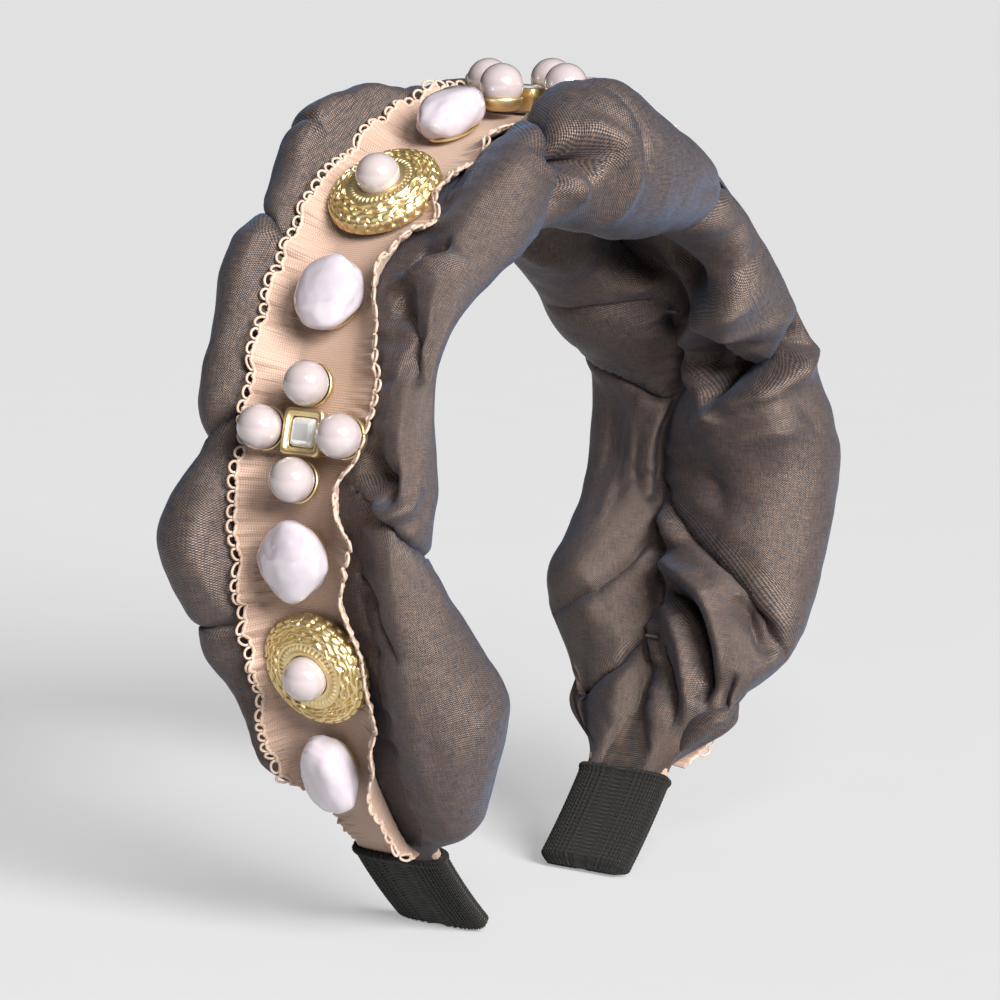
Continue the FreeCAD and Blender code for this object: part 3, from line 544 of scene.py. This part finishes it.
def lobe_points(side, arc, reach, crumpled):
    """One lobe of the cover, as (across, height, arc): side is -1 for the front and 1 for the back."""
    outer, inner, folds = (
        (FRONT_OUTER, FRONT_INNER, FRONT_FOLDS) if side < 0 else (BACK_OUTER, BACK_INNER, BACK_FOLDS)
    )
    outward, shift_a, shift_r = fold_offsets(folds, arc, reach)
    across, height, out_across, out_height = lobe_section(np.clip(reach + shift_r, 0, SECTION_LENGTH))
    low, high = (1, 9) if side < 0 else (5, 13)
    stand = smooth_profile(outer, arc) * hump(reach - 18, 18) * ease(reach, low, high)
    stand = stand + smooth_profile(inner, arc) * hump(reach - 36, 18) + outward + crumpled
    # the rows along the trim and along the seam are sewn down
    stand = stand * ease(reach, -1, 5) * ease(SECTION_LENGTH - reach, -2, 4)
    middle = smooth_profile(TRIM_MIDDLE, arc)
    across = (across + out_across * stand) * side
    across = across + smooth_profile(SEAM, arc) * ease(reach, 34, SECTION_LENGTH)
    across = across + middle * (1 - ease(reach, 8, 22))
    height = height + out_height * stand + (1.3 if side < 0 else 0) * hump(reach - 6, 6)
    # nowhere does it sink into the wrapped hoop
    over_hoop = np.abs(across) < WRAP_HALF
    outside = reach < SECTION_LENGTH / 2
    height = np.where(over_hoop & outside, np.maximum(height, WRAP_TOP + 0.1 * reach), height)
    height = np.where(over_hoop & ~outside, np.minimum(height, WRAP_UNDER), height)
    # under the trim it lies flat
    from_middle = np.abs(across - middle)
    rise = 0.28 * np.maximum(from_middle - 8, 0)
    ceiling = TRIM_UNDERSIDE + rise + 1.6 * np.maximum(from_middle - 12.3, 0)
    height = np.where(reach < 22, np.minimum(height, ceiling), height)
    # each end draws in to slip into the sleeve; the left leg's back lobe ends higher up, flat on the hoop
    low, high = (149, 163) if side > 0 else (158, 170)
    drawn_in = np.where(arc < 0, ease(-arc, low, high), ease(arc, 156, 170))
    angle = math.pi * (reach / SECTION_LENGTH - 0.5)
    flat_across = side * 4.3 * (1 + np.cos(angle)) + side * 0.4
    flat_height = -1.75 * np.sin(angle)
    on_hoop = (arc < 0) & (side > 0)
    flat_across = np.where(on_hoop, side * (3.0 + 2.5 * np.cos(angle)), flat_across)
    flat_height = np.where(on_hoop, flat_height * 0.3, flat_height)
    across, height = across + (flat_across - across) * drawn_in, height + (flat_height - height) * drawn_in
    return across, height, arc + shift_a


def make_cover():
    """The whole cover as one sheet of cloth: front lobe, seam, back lobe."""
    arcs = np.linspace(-COVER_END, COVER_END, int(2 * COVER_END / COVER_STEP) + 1)
    reaches = np.linspace(0, SECTION_LENGTH, int(SECTION_LENGTH / COVER_STEP) + 1)
    arc, reach = np.meshgrid(arcs, reaches, indexing="ij")
    lobes = []
    for side in (-1, 1):
        across, height, moved = lobe_points(side, arc, reach, crumple(arc, reach, side))
        lobes.append(on_band(moved, height, across))
    # the back lobe runs from the seam, which the two share, back to the trim
    points = np.concatenate([lobes[0], lobes[1][:, ::-1][:, 1:]], axis=1)
    rows, columns = points.shape[:2]
    cover = new_piece("cover", points.reshape(-1, 3), grid_faces(rows, columns), TAFFETA)
    cloth_arc = np.repeat(arcs[:, None], columns, axis=1) * GATHER
    cloth_reach = np.repeat(np.linspace(0, 2 * SECTION_LENGTH, columns)[None, :], rows, axis=0)
    lay_weave(cover, cloth_arc, cloth_reach)
    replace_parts(cover, "pleated_cover")
    return cover


COVER = make_cover()

# ----- the trim ribbon and its picots

TRIM_HALF = 13.0
TRIM_END = 167.0
TRIM_HEIGHT = 2.5  # of its flat middle
TRIM_FLAT = 5.5  # half the width of its flat middle
TRIM_THICKNESS = 0.35
# how far from the middle each edge lies along the band; where an edge is drawn in, it stands up
FRONT_EDGE = [
    (-167, 11), (-162, 8), (-155, 6), (-149, 7.5), (-143, 9.5), (-136, 11), (-130, 11.5), (-122, 11),
    (-115, 9.5), (-110, 9.5), (-104, 11.5), (-99, 9.5), (-94, 7.5), (-90, 11), (-85, 12.5), (-75, 12.5),
    (-70, 11.5), (-63, 9.5), (-57, 8), (-52, 9.5), (-47, 13), (-43, 12.5), (-40, 10.5), (-36, 12),
    (-32, 12.5), (-28, 13), (-24, 10.5), (-17, 13), (-12, 12), (0, 12), (20, 10.5), (40, 12), (60, 10),
    (80, 12), (95, 9), (110, 12), (130, 11), (145, 12), (155, 12.5), (167, 13),
]
BACK_EDGE = [
    (-167, 12), (-150, 12), (-140, 12), (-128, 11.5), (-115, 12), (-100, 12.3), (-92, 12.5), (-80, 11.6),
    (-70, 12.2), (-55, 12.6), (-42, 12), (-30, 12.6), (-15, 12), (0, 11), (15, 12), (35, 10.5), (50, 12),
    (70, 11), (90, 12), (105, 10), (125, 12), (140, 10.5), (160, 8),
]


def trim_points(arc, over):
    """The trim at distances over it from its middle, less than 0 to the front, as (across, height)."""
    side = np.where(over < 0, -1.0, 1.0)
    reach = np.abs(over)
    edge = np.where(side < 0, smooth_profile(FRONT_EDGE, arc, 1.5), smooth_profile(BACK_EDGE, arc, 1.5))
    spread = TRIM_HALF - TRIM_FLAT
    lean = np.clip((edge - TRIM_FLAT) / spread, 0.2, 0.97)
    t = np.clip((reach - TRIM_FLAT) / spread, 0, 1)
    across = np.minimum(reach, TRIM_FLAT) + spread * t * lean
    phase = arc / 1.75 + 1.9 * np.sin(arc / 9.0 + side) + 1.3 * np.sin(arc / 5.1 - 2 * side)
    ruffle = 0.8 * np.sin(phase) + 0.35 * np.sin(phase * 2.3 + side)
    rise = 0.8 * spread * np.sqrt(1 - lean ** 2) * t ** 1.5 + ruffle * t ** 1.6
    rise = rise * np.where(side < 0, 0.6, 1) + np.where(side < 0, 0.8, 1.5) * t ** 1.5
    across = across + 0.25 * np.cos(phase) * t ** 2
    # ribs and small gathers run in from the edges, and a row of stitches runs along the flat middle's side
    gathers = np.sin(arc * 2.7 + 2.2 * np.sin(arc / 6.1 + side) + 0.5 * reach) * np.sin(arc / 3.7 + side)
    ribs = 0.13 * np.sin(arc * 2 * math.pi / 1.15) * t ** 0.6 + 0.38 * gathers * t
    ribs = ribs + 0.10 * np.sin(arc * 2 * math.pi / 0.75) * np.exp(-((reach - 5.3) / 0.45) ** 2)
    gone = ease(np.abs(arc), TRIM_END - 6, TRIM_END + 3)
    # at the left foot its back edge is turned under
    under = ease(-arc, 146, 158) * (side > 0)
    height = TRIM_HEIGHT + rise * (1 - 0.5 * gone) * (1 - 0.9 * under) + ribs - 0.7 * gone
    across = across * (1 - 0.4 * under) * (1 - 0.25 * gone)
    return side * across + smooth_profile(TRIM_MIDDLE, arc), height


def make_trim():
    """The trim ribbon, as a sheet given its thickness inward."""
    arcs, overs = np.arange(-TRIM_END, TRIM_END + 0.01, 0.25), np.linspace(-TRIM_HALF, TRIM_HALF, 53)
    arc, over = np.meshgrid(arcs, overs, indexing="ij")
    across, height = trim_points(arc, over)
    points = on_band(arc, height, across).reshape(-1, 3)
    trim = new_piece("trim", points, grid_faces(*arc.shape)[:, ::-1], RIBBON)
    lay_weave(trim, arc, over)
    thick = trim.modifiers.new("thick", "SOLIDIFY")
    thick.thickness = TRIM_THICKNESS * MM
    thick.offset = -1
    mesh = bpy.data.meshes.new_from_object(trim.evaluated_get(bpy.context.evaluated_depsgraph_get()))
    trim.modifiers.clear()
    trim.data = mesh
    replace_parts(trim, "trim_ribbon")
    return trim


def tube(path, radius, sides):
    """Vertices and faces of a tube along a path in metres; radius is one value or one for each point."""
    radius = np.broadcast_to(radius, len(path))
    ahead = np.gradient(path, axis=0)
    ahead /= np.linalg.norm(ahead, axis=1, keepdims=True)
    side = np.cross(ahead, [0.31, 0.87, 0.38])
    side /= np.linalg.norm(side, axis=1, keepdims=True)
    over = np.cross(ahead, side)
    turn = np.linspace(0, 2 * math.pi, sides, endpoint=False)
    ring = side[:, None] * np.cos(turn)[None, :, None] + over[:, None] * np.sin(turn)[None, :, None]
    points = path[:, None] + ring * (radius * MM)[:, None, None]
    return points.reshape(-1, 3), grid_faces(len(path), sides, wrap=True)


def gather(parts):
    """Joins lists of (vertices, faces) into one."""
    vertices, faces, count = [], [], 0
    for points, quads in parts:
        vertices.append(np.asarray(points))
        faces += (np.asarray(quads) + count).tolist()
        count += len(points)
    return np.concatenate(vertices), faces


PICOT_STEP = 2.35
PICOT_FEET = 2.0  # between the two feet of a loop
LOOP_THREAD, CORD_THREAD = 0.25, 0.33  # radii


def make_picots(side, name):
    """One edge's row of looped threads, on the twisted cord that binds the edge."""
    parts = []
    turn = np.linspace(-0.35, math.pi + 0.35, 15)
    # where the back edge is turned under, its loops are out of sight
    first = -TRIM_END if side < 0 else -152.0
    for start in np.arange(first + 3, TRIM_END - 3, PICOT_STEP):
        feet = start + np.array([-0.5, 0.5]) * PICOT_FEET
        across, height = trim_points(feet, np.full(2, side * TRIM_HALF))
        inner_across, inner_height = trim_points(feet, np.full(2, side * (TRIM_HALF - 0.5)))
        out = np.array([(across - inner_across).mean(), (height - inner_height).mean()])
        out /= np.linalg.norm(out)
        # a round loop on a short neck
        wide, tall = 0.92 + 0.08 * math.sin(start * 1.7), 0.75 + 0.1 * math.sin(start * 2.9)
        share = 0.5 - 0.5 * np.cos(turn) * wide
        proud = 0.45 + tall * np.sin(turn)
        across, height = (ends[0] + (ends[1] - ends[0]) * share for ends in (across, height))
        points = on_band(feet[0] + PICOT_FEET * share, height + out[1] * proud, across + out[0] * proud)
        parts.append(tube(points, LOOP_THREAD, 6))
    arcs = np.arange(first + 1, TRIM_END - 1, 0.3)
    across, height = trim_points(arcs, np.full(arcs.shape, side * (TRIM_HALF - 0.1)))
    twist = 0.07 * np.sin(arcs * 2 * math.pi / 0.9)
    parts.append(tube(on_band(arcs, height, across), CORD_THREAD + twist, 7))
    row = new_piece(name, *gather(parts), PICOT)
    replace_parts(row, "picot_edge_front" if side < 0 else "picot_edge_back")
    return row


TRIM = make_trim()
PICOTS = [make_picots(-1, "front_picots"), make_picots(1, "back_picots")]

# ----- the wrapped hoop and the knitted sleeves

WRAP_END, WRAP_PITCH = 175.0, 9.5
KNIT_RIBS, KNIT_COURSE = 54, 0.75
WRAP_HALVES, SLEEVE_HALVES = (9.0, 1.3), (9.7, 2.15)  # half the width and half the thickness of each


def squared(angle, power):
    """The cosine and sine of an angle, pushed towards a square as the power falls below 1."""
    cos, sin = np.cos(angle), np.sin(angle)
    return np.sign(cos) * np.abs(cos) ** power, np.sign(sin) * np.abs(sin) ** power


def band_tube(arcs, half_width, half_height, count, relief):
    """A flat tube along the hoop, as (arc, turn, height, across), with a relief given by arc and turn."""
    turn = np.linspace(0, 2 * math.pi, count, endpoint=False)
    arc, angle = np.meshgrid(arcs, turn, indexing="ij")
    wide, high = squared(angle, 0.55)
    extra = relief(arc, angle)
    return arc, angle, (half_height + extra) * high, (half_width + extra) * wide


def make_wrap():
    """Plain ribbon wound round the hoop in overlapping turns."""

    def turns(arc, angle):
        place = (arc + 2.2 * np.cos(angle) + 0.4 * np.sin(2 * angle)) / WRAP_PITCH
        return 0.32 * (place - np.floor(place)) ** 1.5 - 0.15

    arcs = np.arange(-WRAP_END, WRAP_END + 0.01, 0.6)
    arc, angle, height, across = band_tube(arcs, *WRAP_HALVES, 56, turns)
    points = on_band(arc, height, across).reshape(-1, 3)
    wrap = new_piece("hoop_ribbon", points, grid_faces(*arc.shape, wrap=True), RIBBON)
    lay_weave(wrap, arc, angle * 6)
    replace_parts(wrap, "hoop_wrap")
    return wrap


def make_sleeve(sign, name):
    """A ribbed knitted sleeve over one tip, rolled at its mouth and closed at its foot."""

    def ribs(arc, angle):
        along = np.abs(arc)
        rib = 0.13 * np.cos(KNIT_RIBS * angle)
        course = 0.05 * np.cos(along * 2 * math.pi / KNIT_COURSE + KNIT_RIBS * angle / 2)
        lip = 0.35 * np.exp(-((along - SLEEVE_MOUTH - 0.9) / 0.7) ** 2)
        inside = np.where(along < SLEEVE_MOUTH + 0.05, -0.7, 0.0)
        foot = -2.0 * ease(along, TIP_ARC - 1.6, TIP_ARC + 0.4)
        return rib + course + lip + inside + foot

    arcs = np.concatenate([[SLEEVE_MOUTH + 1.0], np.arange(SLEEVE_MOUTH, TIP_ARC + 0.3, 0.25)])
    arc, angle, height, across = band_tube(arcs * sign, *SLEEVE_HALVES, KNIT_RIBS * 6, ribs)
    height[0] *= 0.6
    points = on_band(arc, height, across)
    points[..., 2] = np.maximum(points[..., 2], 0.0)
    middle = points[-1].mean(axis=0)
    vertices = np.concatenate([points.reshape(-1, 3), [middle]])
    faces = grid_faces(*arc.shape, wrap=True).tolist()
    count = arc.shape[1]
    last = arc.size - count
    faces += [(last + i, last + (i + 1) % count, last + count) for i in range(count)]
    if sign > 0:
        faces = [face[::-1] for face in faces]
    sleeve = new_piece(name + "_knit_sleeve", vertices, faces, KNIT)
    lay_weave(sleeve, np.append(arc, TIP_ARC), np.append(angle * KNIT_RIBS * 0.9 / (2 * math.pi), 0))
    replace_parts(sleeve, name + "_tip_sleeve")


WRAP = make_wrap()
make_sleeve(-1, "left")
make_sleeve(1, "right")

# ----- ornaments

UPPER_STEP, LOWER_STEP = 21.4, 19.7  # between neighbours, down to the lower nugget and beyond it
BASE_HEIGHT = 3.4  # where ornaments sit on the trim
CROSS_REACH = 8.4  # from a cross's middle to each of its pearls


def station(arc, across):
    """The matrix of an ornament's base on the band: its Z outward, its X along the band, its Y across."""
    place = Vector(on_band(arc, BASE_HEIGHT, across))
    outward = (Vector(on_band(arc, BASE_HEIGHT + 1.0, across)) - place).normalized()
    axis = Vector((0, 1, 0))
    return Matrix.Translation(place) @ Matrix((axis.cross(outward), axis, outward)).transposed().to_4x4()


def ornament(name, place, parts, material, smooth=True):
    """A piece built in millimetres about an ornament's base, set on the band at (arc, across)."""
    vertices, faces = gather(parts) if isinstance(parts, list) else parts
    place = np.array(station(*place))
    points = np.asarray(vertices) * MM @ place[:3, :3].T + place[:3, 3]
    return new_piece(name, points, faces, material, smooth)


def turned(profile, count, relief=None):
    """A surface turned about Z through (radius, height) points, moved by relief(radius, height, turn)."""
    angle = np.linspace(0, 2 * math.pi, count, endpoint=False)
    radius, height = (np.array(track)[:, None] * np.ones(count) for track in zip(*profile))
    turn = np.ones(len(profile))[:, None] * angle
    if relief:
        radius, height = relief(radius, height, turn)
    points = np.stack([radius * np.cos(turn), radius * np.sin(turn), height], -1)
    return points.reshape(-1, 3), grid_faces(len(profile), count, wrap=True)[:, ::-1]


def square_rings(rings, count, roundness):
    """A square tower through (half side, height) rings, with rounded corners."""
    # the small turn keeps every point off the axes, where the sign would be 0
    wide, deep = squared(np.linspace(0, 2 * math.pi, count, endpoint=False) + 0.001, roundness)
    points = np.array([[(half * w, half * d, height) for w, d in zip(wide, deep)] for half, height in rings])
    return points.reshape(-1, 3), grid_faces(len(rings), count, wrap=True)


# the medallion's woven part lies between these radii
WOVEN_IN, WOVEN_OUT, WOVEN_WIDTH = 6.5, 9.9, 3.4
RIM_BRICKS, ROPE_BEADS = 28, 40


def medal_profile():
    """The medallion's section from its foot over the rim and the dome to the pearl."""
    outside = [
        (10.3, 0.0), (10.5, 0.2), (10.5, 0.9), (10.45, 1.0), (10.5, 1.1), (10.45, 1.8), (10.35, 2.1),
        (10.2, 2.35), (10.0, 2.5),
    ]
    basket = [(r, 2.5 + (WOVEN_OUT - r) * 0.42) for r in np.linspace(WOVEN_OUT, WOVEN_IN, 36)]
    ring = [(6.35, 3.85), (6.2, 3.8)]
    rope = [(6.0, 3.95), (5.8, 4.15), (5.5, 4.25), (5.2, 4.2), (4.9, 4.05), (4.7, 3.9)]
    collar = [(4.5, 3.85), (4.25, 4.05), (4.0, 4.0), (3.9, 3.7), (3.7, 3.0)]
    return outside + basket + ring + rope + collar


def saw(value):
    """A zigzag between 0 and 1 with period 1."""
    return 2 * np.abs(((value + 0.5) % 1) - 0.5)


def medal_relief(radius, height, turn):
    """Bricks round the rim's side, woven zigzags over the dome and a milled rope round the pearl."""
    bricks = turn / (2 * math.pi) * RIM_BRICKS
    row = np.where(height < 1.0, 0.0, 0.5)
    wall = (radius > 10.1) & (height < 2.4)
    radius = radius - np.where(wall, 0.45 * ease(saw(bricks + row), 0.76, 0.92), 0)
    # place runs from 0 at the dome's inner side to 1 at its outer side
    place = (radius - WOVEN_IN) / WOVEN_WIDTH
    wander = 0.04 * np.sin(9 * turn) + 0.03 * np.sin(23 * turn)
    lines = np.zeros(turn.shape)
    for level, lift, shift in ((0.16, 0.13, 0), (0.46, -0.15, 0.25), (0.70, 0.12, 0.1)):
        line = place - level - wander - lift * (saw(bricks / 1.5 + shift) - 0.5)
        lines = np.maximum(lines, 1 - ease(np.abs(line), 0.035, 0.10))
    blocks = 1 - ease(saw(bricks + 0.25), 0.70, 0.85)
    blocks = blocks * ease(place, 0.78, 0.84) * (1 - ease(place, 0.93, 1.0))
    rungs = 1 - ease(saw(bricks * 1.5), 0.35, 0.55)
    rungs = rungs * ease(place, 0.26, 0.32) * (1 - ease(place, 0.38, 0.44))
    dome = ease(radius, 6.4, 6.7) * (1 - ease(radius, WOVEN_OUT, 10.1))
    bead = np.abs(np.sin(ROPE_BEADS * turn / 2 + (radius - 5.5) * 1.2))
    rope = ease(radius, 4.8, 5.1) * (1 - ease(radius, 5.9, 6.1))
    relief = 0.7 * np.maximum(lines, np.maximum(0.95 * blocks, 0.7 * rungs)) - 0.4
    return radius, height + relief * dome - 0.45 * (1 - bead) * rope


def make_medallion(name, place):
    """A stamped gilt disc."""
    disc = ornament(name + "_relief", place, turned(medal_profile(), 240, medal_relief), GILT)
    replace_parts(disc, name + "_disc")


def make_setting(name, place):
    """The gilt box of a cross, stepped round its crystal, with a cup under each pearl."""
    rings = [
        (3.7, 0.0), (3.75, 2.2), (3.95, 2.4), (4.1, 2.7), (4.1, 3.9), (4.0, 4.15), (3.75, 4.25), (3.4, 4.25),
        (3.25, 4.1), (3.2, 3.75), (2.9, 3.7), (2.75, 3.6), (2.68, 3.3), (2.6, 2.0), (1.2, 1.8), (0.3, 1.75),
    ]
    parts = [square_rings(rings, 48, 0.22)]
    cup = [
        (0.3, 0.3), (2.4, 0.3), (3.3, 0.9), (3.75, 1.7), (3.9, 2.4), (3.85, 2.75), (3.65, 2.85), (3.5, 2.6),
    ]
    for x, y in ((CROSS_REACH, 0), (-CROSS_REACH, 0), (0, CROSS_REACH), (0, -CROSS_REACH)):
        points, faces = turned(cup, 40)
        parts.append((points + np.array((x, y, 0)), faces))
    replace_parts(ornament(name + "_gilt_setting", place, parts, GILT), name + "_setting")
    stone = [
        (0.05, 4.45), (1.5, 4.45), (1.95, 4.25), (2.35, 3.9), (2.6, 3.4), (2.0, 2.9), (1.3, 2.4), (0.1, 1.95),
    ]
    cut = ornament(name + "_cut_stone", place, square_rings(stone, 24, 0.3), CRYSTAL, smooth=False)
    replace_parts(cut, name + "_crystal")


SHELL_ROWS, SHELL_COLUMNS = 49, 72
SHELL_HALF_HEIGHT, SHELL_CENTRE, SHELL_FOOT = 4.1, 3.4, 0.6


def make_baroque(name, place, half_length, half_width, squareness, seed):
    """An irregular pearl: a lumpy pebble with a flat foot."""
    polar = np.linspace(0, math.pi, SHELL_ROWS)
    around = np.linspace(0, 2 * math.pi, SHELL_COLUMNS, endpoint=False)
    theta, phi = np.meshgrid(polar, around, indexing="ij")
    way = np.stack([np.sin(theta) * np.cos(phi), np.sin(theta) * np.sin(phi), np.cos(theta)], -1)
    bulk = np.abs(way[..., 0]) ** squareness + np.abs(way[..., 1]) ** squareness + np.abs(way[..., 2]) ** 2.2
    size = bulk ** (-1 / 2.1)
    lumps = np.empty(theta.shape)
    for index, direction in enumerate(way.reshape(-1, 3)):
        spot = Vector(direction) * 1.15 + Vector((seed * 3.7, seed, 0))
        lumps.flat[index] = 0.12 * noise.noise(spot) + 0.03 * noise.noise(spot * 2.6)
    swell = size * (1 + lumps)
    points = way * swell[..., None] * np.array((half_length, half_width, SHELL_HALF_HEIGHT))
    points[..., 2] = np.maximum(points[..., 2] + SHELL_CENTRE, SHELL_FOOT)
    faces = grid_faces(SHELL_ROWS, SHELL_COLUMNS, wrap=True)
    pearl = ornament(name + "_shell", place, (points.reshape(-1, 3), faces), BAROQUE)
    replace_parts(pearl, name + "_pearl")


# how far each ornament lies from its even place, as (towards the crown, across), as in the CAD
MEANDER = {
    -1: [(2.9, 3), (2.3, 3), (1.2, 2), (-0.4, -0.5), (0.7, 0.5), (0.7, 0), (0, 1.5)],
    1: [(0, 0), (0, 1), (0, 1), (0, 0), (0, -1), (0, 0), (0, 1)],
}


def make_ornaments():
    """The crown's cross and the row down each side of it."""
    make_setting("crown_cross", (0.0, 0.0))
    for sign, word in ((-1, "left"), (1, "right")):
        arcs = [UPPER_STEP * i for i in range(1, 6)] + [5 * UPPER_STEP + LOWER_STEP * i for i in (1, 2)]
        places = [(sign * (arc - nearer), across) for arc, (nearer, across) in zip(arcs, MEANDER[sign])]
        make_baroque(word + "_upper_oval", places[0], 7.5, 4.9, 2.6, 2 + sign)
        make_medallion(word + "_upper_medallion", places[1])
        make_baroque(word + "_upper_nugget", places[2], 7.1, 6.5, 1.85, 5 + sign)
        make_setting(word + "_cross", places[3])
        make_baroque(word + "_lower_nugget", places[4], 7.3, 6.5, 1.85, 8 + sign)
        make_medallion(word + "_lower_medallion", places[5])
        make_baroque(word + "_lower_oval", places[6], 7.6, 4.9, 2.6, 11 + sign)


make_ornaments()

# the pieces that keep their CAD shape, by a part of their names
FINISHES = {"_plate": GILT, "_pearl": PEARL, "hoop_core": HOOP, "glue_pads": GLUE, "tacking_stitches": THREAD}
for name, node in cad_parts.items():
    for part, material in FINISHES.items():
        if part in name:
            node.data.materials.clear()
            node.data.materials.append(material)
            break

# ----- floor, light and camera

FLOOR_HALF = 8.0  # metres


def make_floor():
    """A wide sheet of pale paper."""
    nodes = Nodes("floor")
    speck = nodes.noise(object_space(nodes), 40.0, 2.0)
    nodes.set(Base_Color=nodes.mix(speck, grey(0.295), grey(0.305)), Roughness=0.95, Specular_IOR_Level=0.1)
    # the paper glows a little, as a backdrop lit from behind, so the shadows on it stay faint
    nodes.set(Emission_Color=(0.98, 0.98, 1.0, 1), Emission_Strength=0.35)
    corners = [(x * FLOOR_HALF, y * FLOOR_HALF, 0) for x, y in ((-1, -1), (1, -1), (1, 1), (-1, 1))]
    mesh = bpy.data.meshes.new("floor")
    mesh.from_pydata(corners, [], [(0, 1, 2, 3)])
    mesh.materials.append(nodes.material)
    floor = bpy.data.objects.new("floor", mesh)
    bpy.context.scene.collection.objects.link(floor)


def add_lamp(kind, name, place, power, colour, **settings):
    """A lamp at a place, aimed at the middle of the object."""
    lamp = bpy.data.lights.new(name, kind)
    lamp.energy = power
    lamp.color = colour
    for key, value in settings.items():
        setattr(lamp, key, value)
    item = bpy.data.objects.new(name, lamp)
    item.location = place
    item.rotation_euler = (Vector((0, 0, 0.08)) - Vector(place)).to_track_quat("-Z", "Y").to_euler()
    bpy.context.scene.collection.objects.link(item)


def make_light():
    """An even studio: a dome, brighter overhead, a broad soft sun in front and a lamp above the camera."""
    world = bpy.data.worlds.new("studio")
    world.use_nodes = True
    tree = world.node_tree
    place = tree.nodes.new("ShaderNodeTexCoord")
    split = tree.nodes.new("ShaderNodeSeparateXYZ")
    ramp = tree.nodes.new("ShaderNodeValToRGB")
    tree.links.new(place.outputs["Generated"], split.inputs[0])
    tree.links.new(split.outputs["Z"], ramp.inputs[0])
    tree.links.new(ramp.outputs[0], tree.nodes["Background"].inputs["Color"])
    horizon, zenith = (0.41, 0.42, 0.44, 1), (0.62, 0.63, 0.67, 1)
    stops = ((0.0, grey(0.10)), (0.25, grey(0.16)), (0.5, horizon), (1.0, zenith))
    elements = ramp.color_ramp.elements
    while len(elements) < len(stops):
        elements.new(0.5)
    for element, (where, colour) in zip(elements, stops):
        element.position, element.color = where, colour
    tree.nodes["Background"].inputs["Strength"].default_value = 0.33
    bpy.context.scene.world = world
    add_lamp("SUN", "broad", (-0.33, -0.82, 0.54), 8.3, (1.0, 0.99, 0.975), angle=math.radians(30))
    add_lamp("AREA", "key", (-0.60, -0.48, 0.62), 2.4, (1.0, 0.99, 0.98), size=0.15)


def make_camera():
    """A long lens from the front left, slightly above."""
    azimuth, elevation, roll = (math.radians(angle) for angle in (-56.77, 9.74, 0.82))
    distance, middle, target = 0.85236, Vector((0, 0, 0.076)), Vector((-0.0021, 0.0033, 0.0757))
    level = math.cos(elevation)
    back = Vector((math.sin(azimuth) * level, -math.cos(azimuth) * level, math.sin(elevation)))
    right = Vector((0, 0, 1)).cross(back).normalized()
    up = back.cross(right)
    place = middle + back * distance
    back = (place - target).normalized()
    right = up.cross(back).normalized()
    up = back.cross(right)
    right, up = right * math.cos(roll) + up * math.sin(roll), up * math.cos(roll) - right * math.sin(roll)
    data = bpy.data.cameras.new("camera")
    data.lens = 165.7
    data.sensor_width = 36.0
    camera = bpy.data.objects.new("camera", data)
    camera.matrix_world = Matrix.Translation(place) @ Matrix((right, up, back)).transposed().to_4x4()
    bpy.context.scene.collection.objects.link(camera)
    bpy.context.scene.camera = camera


make_floor()
make_light()
make_camera()
bpy.context.scene.view_settings.view_transform = "Standard"
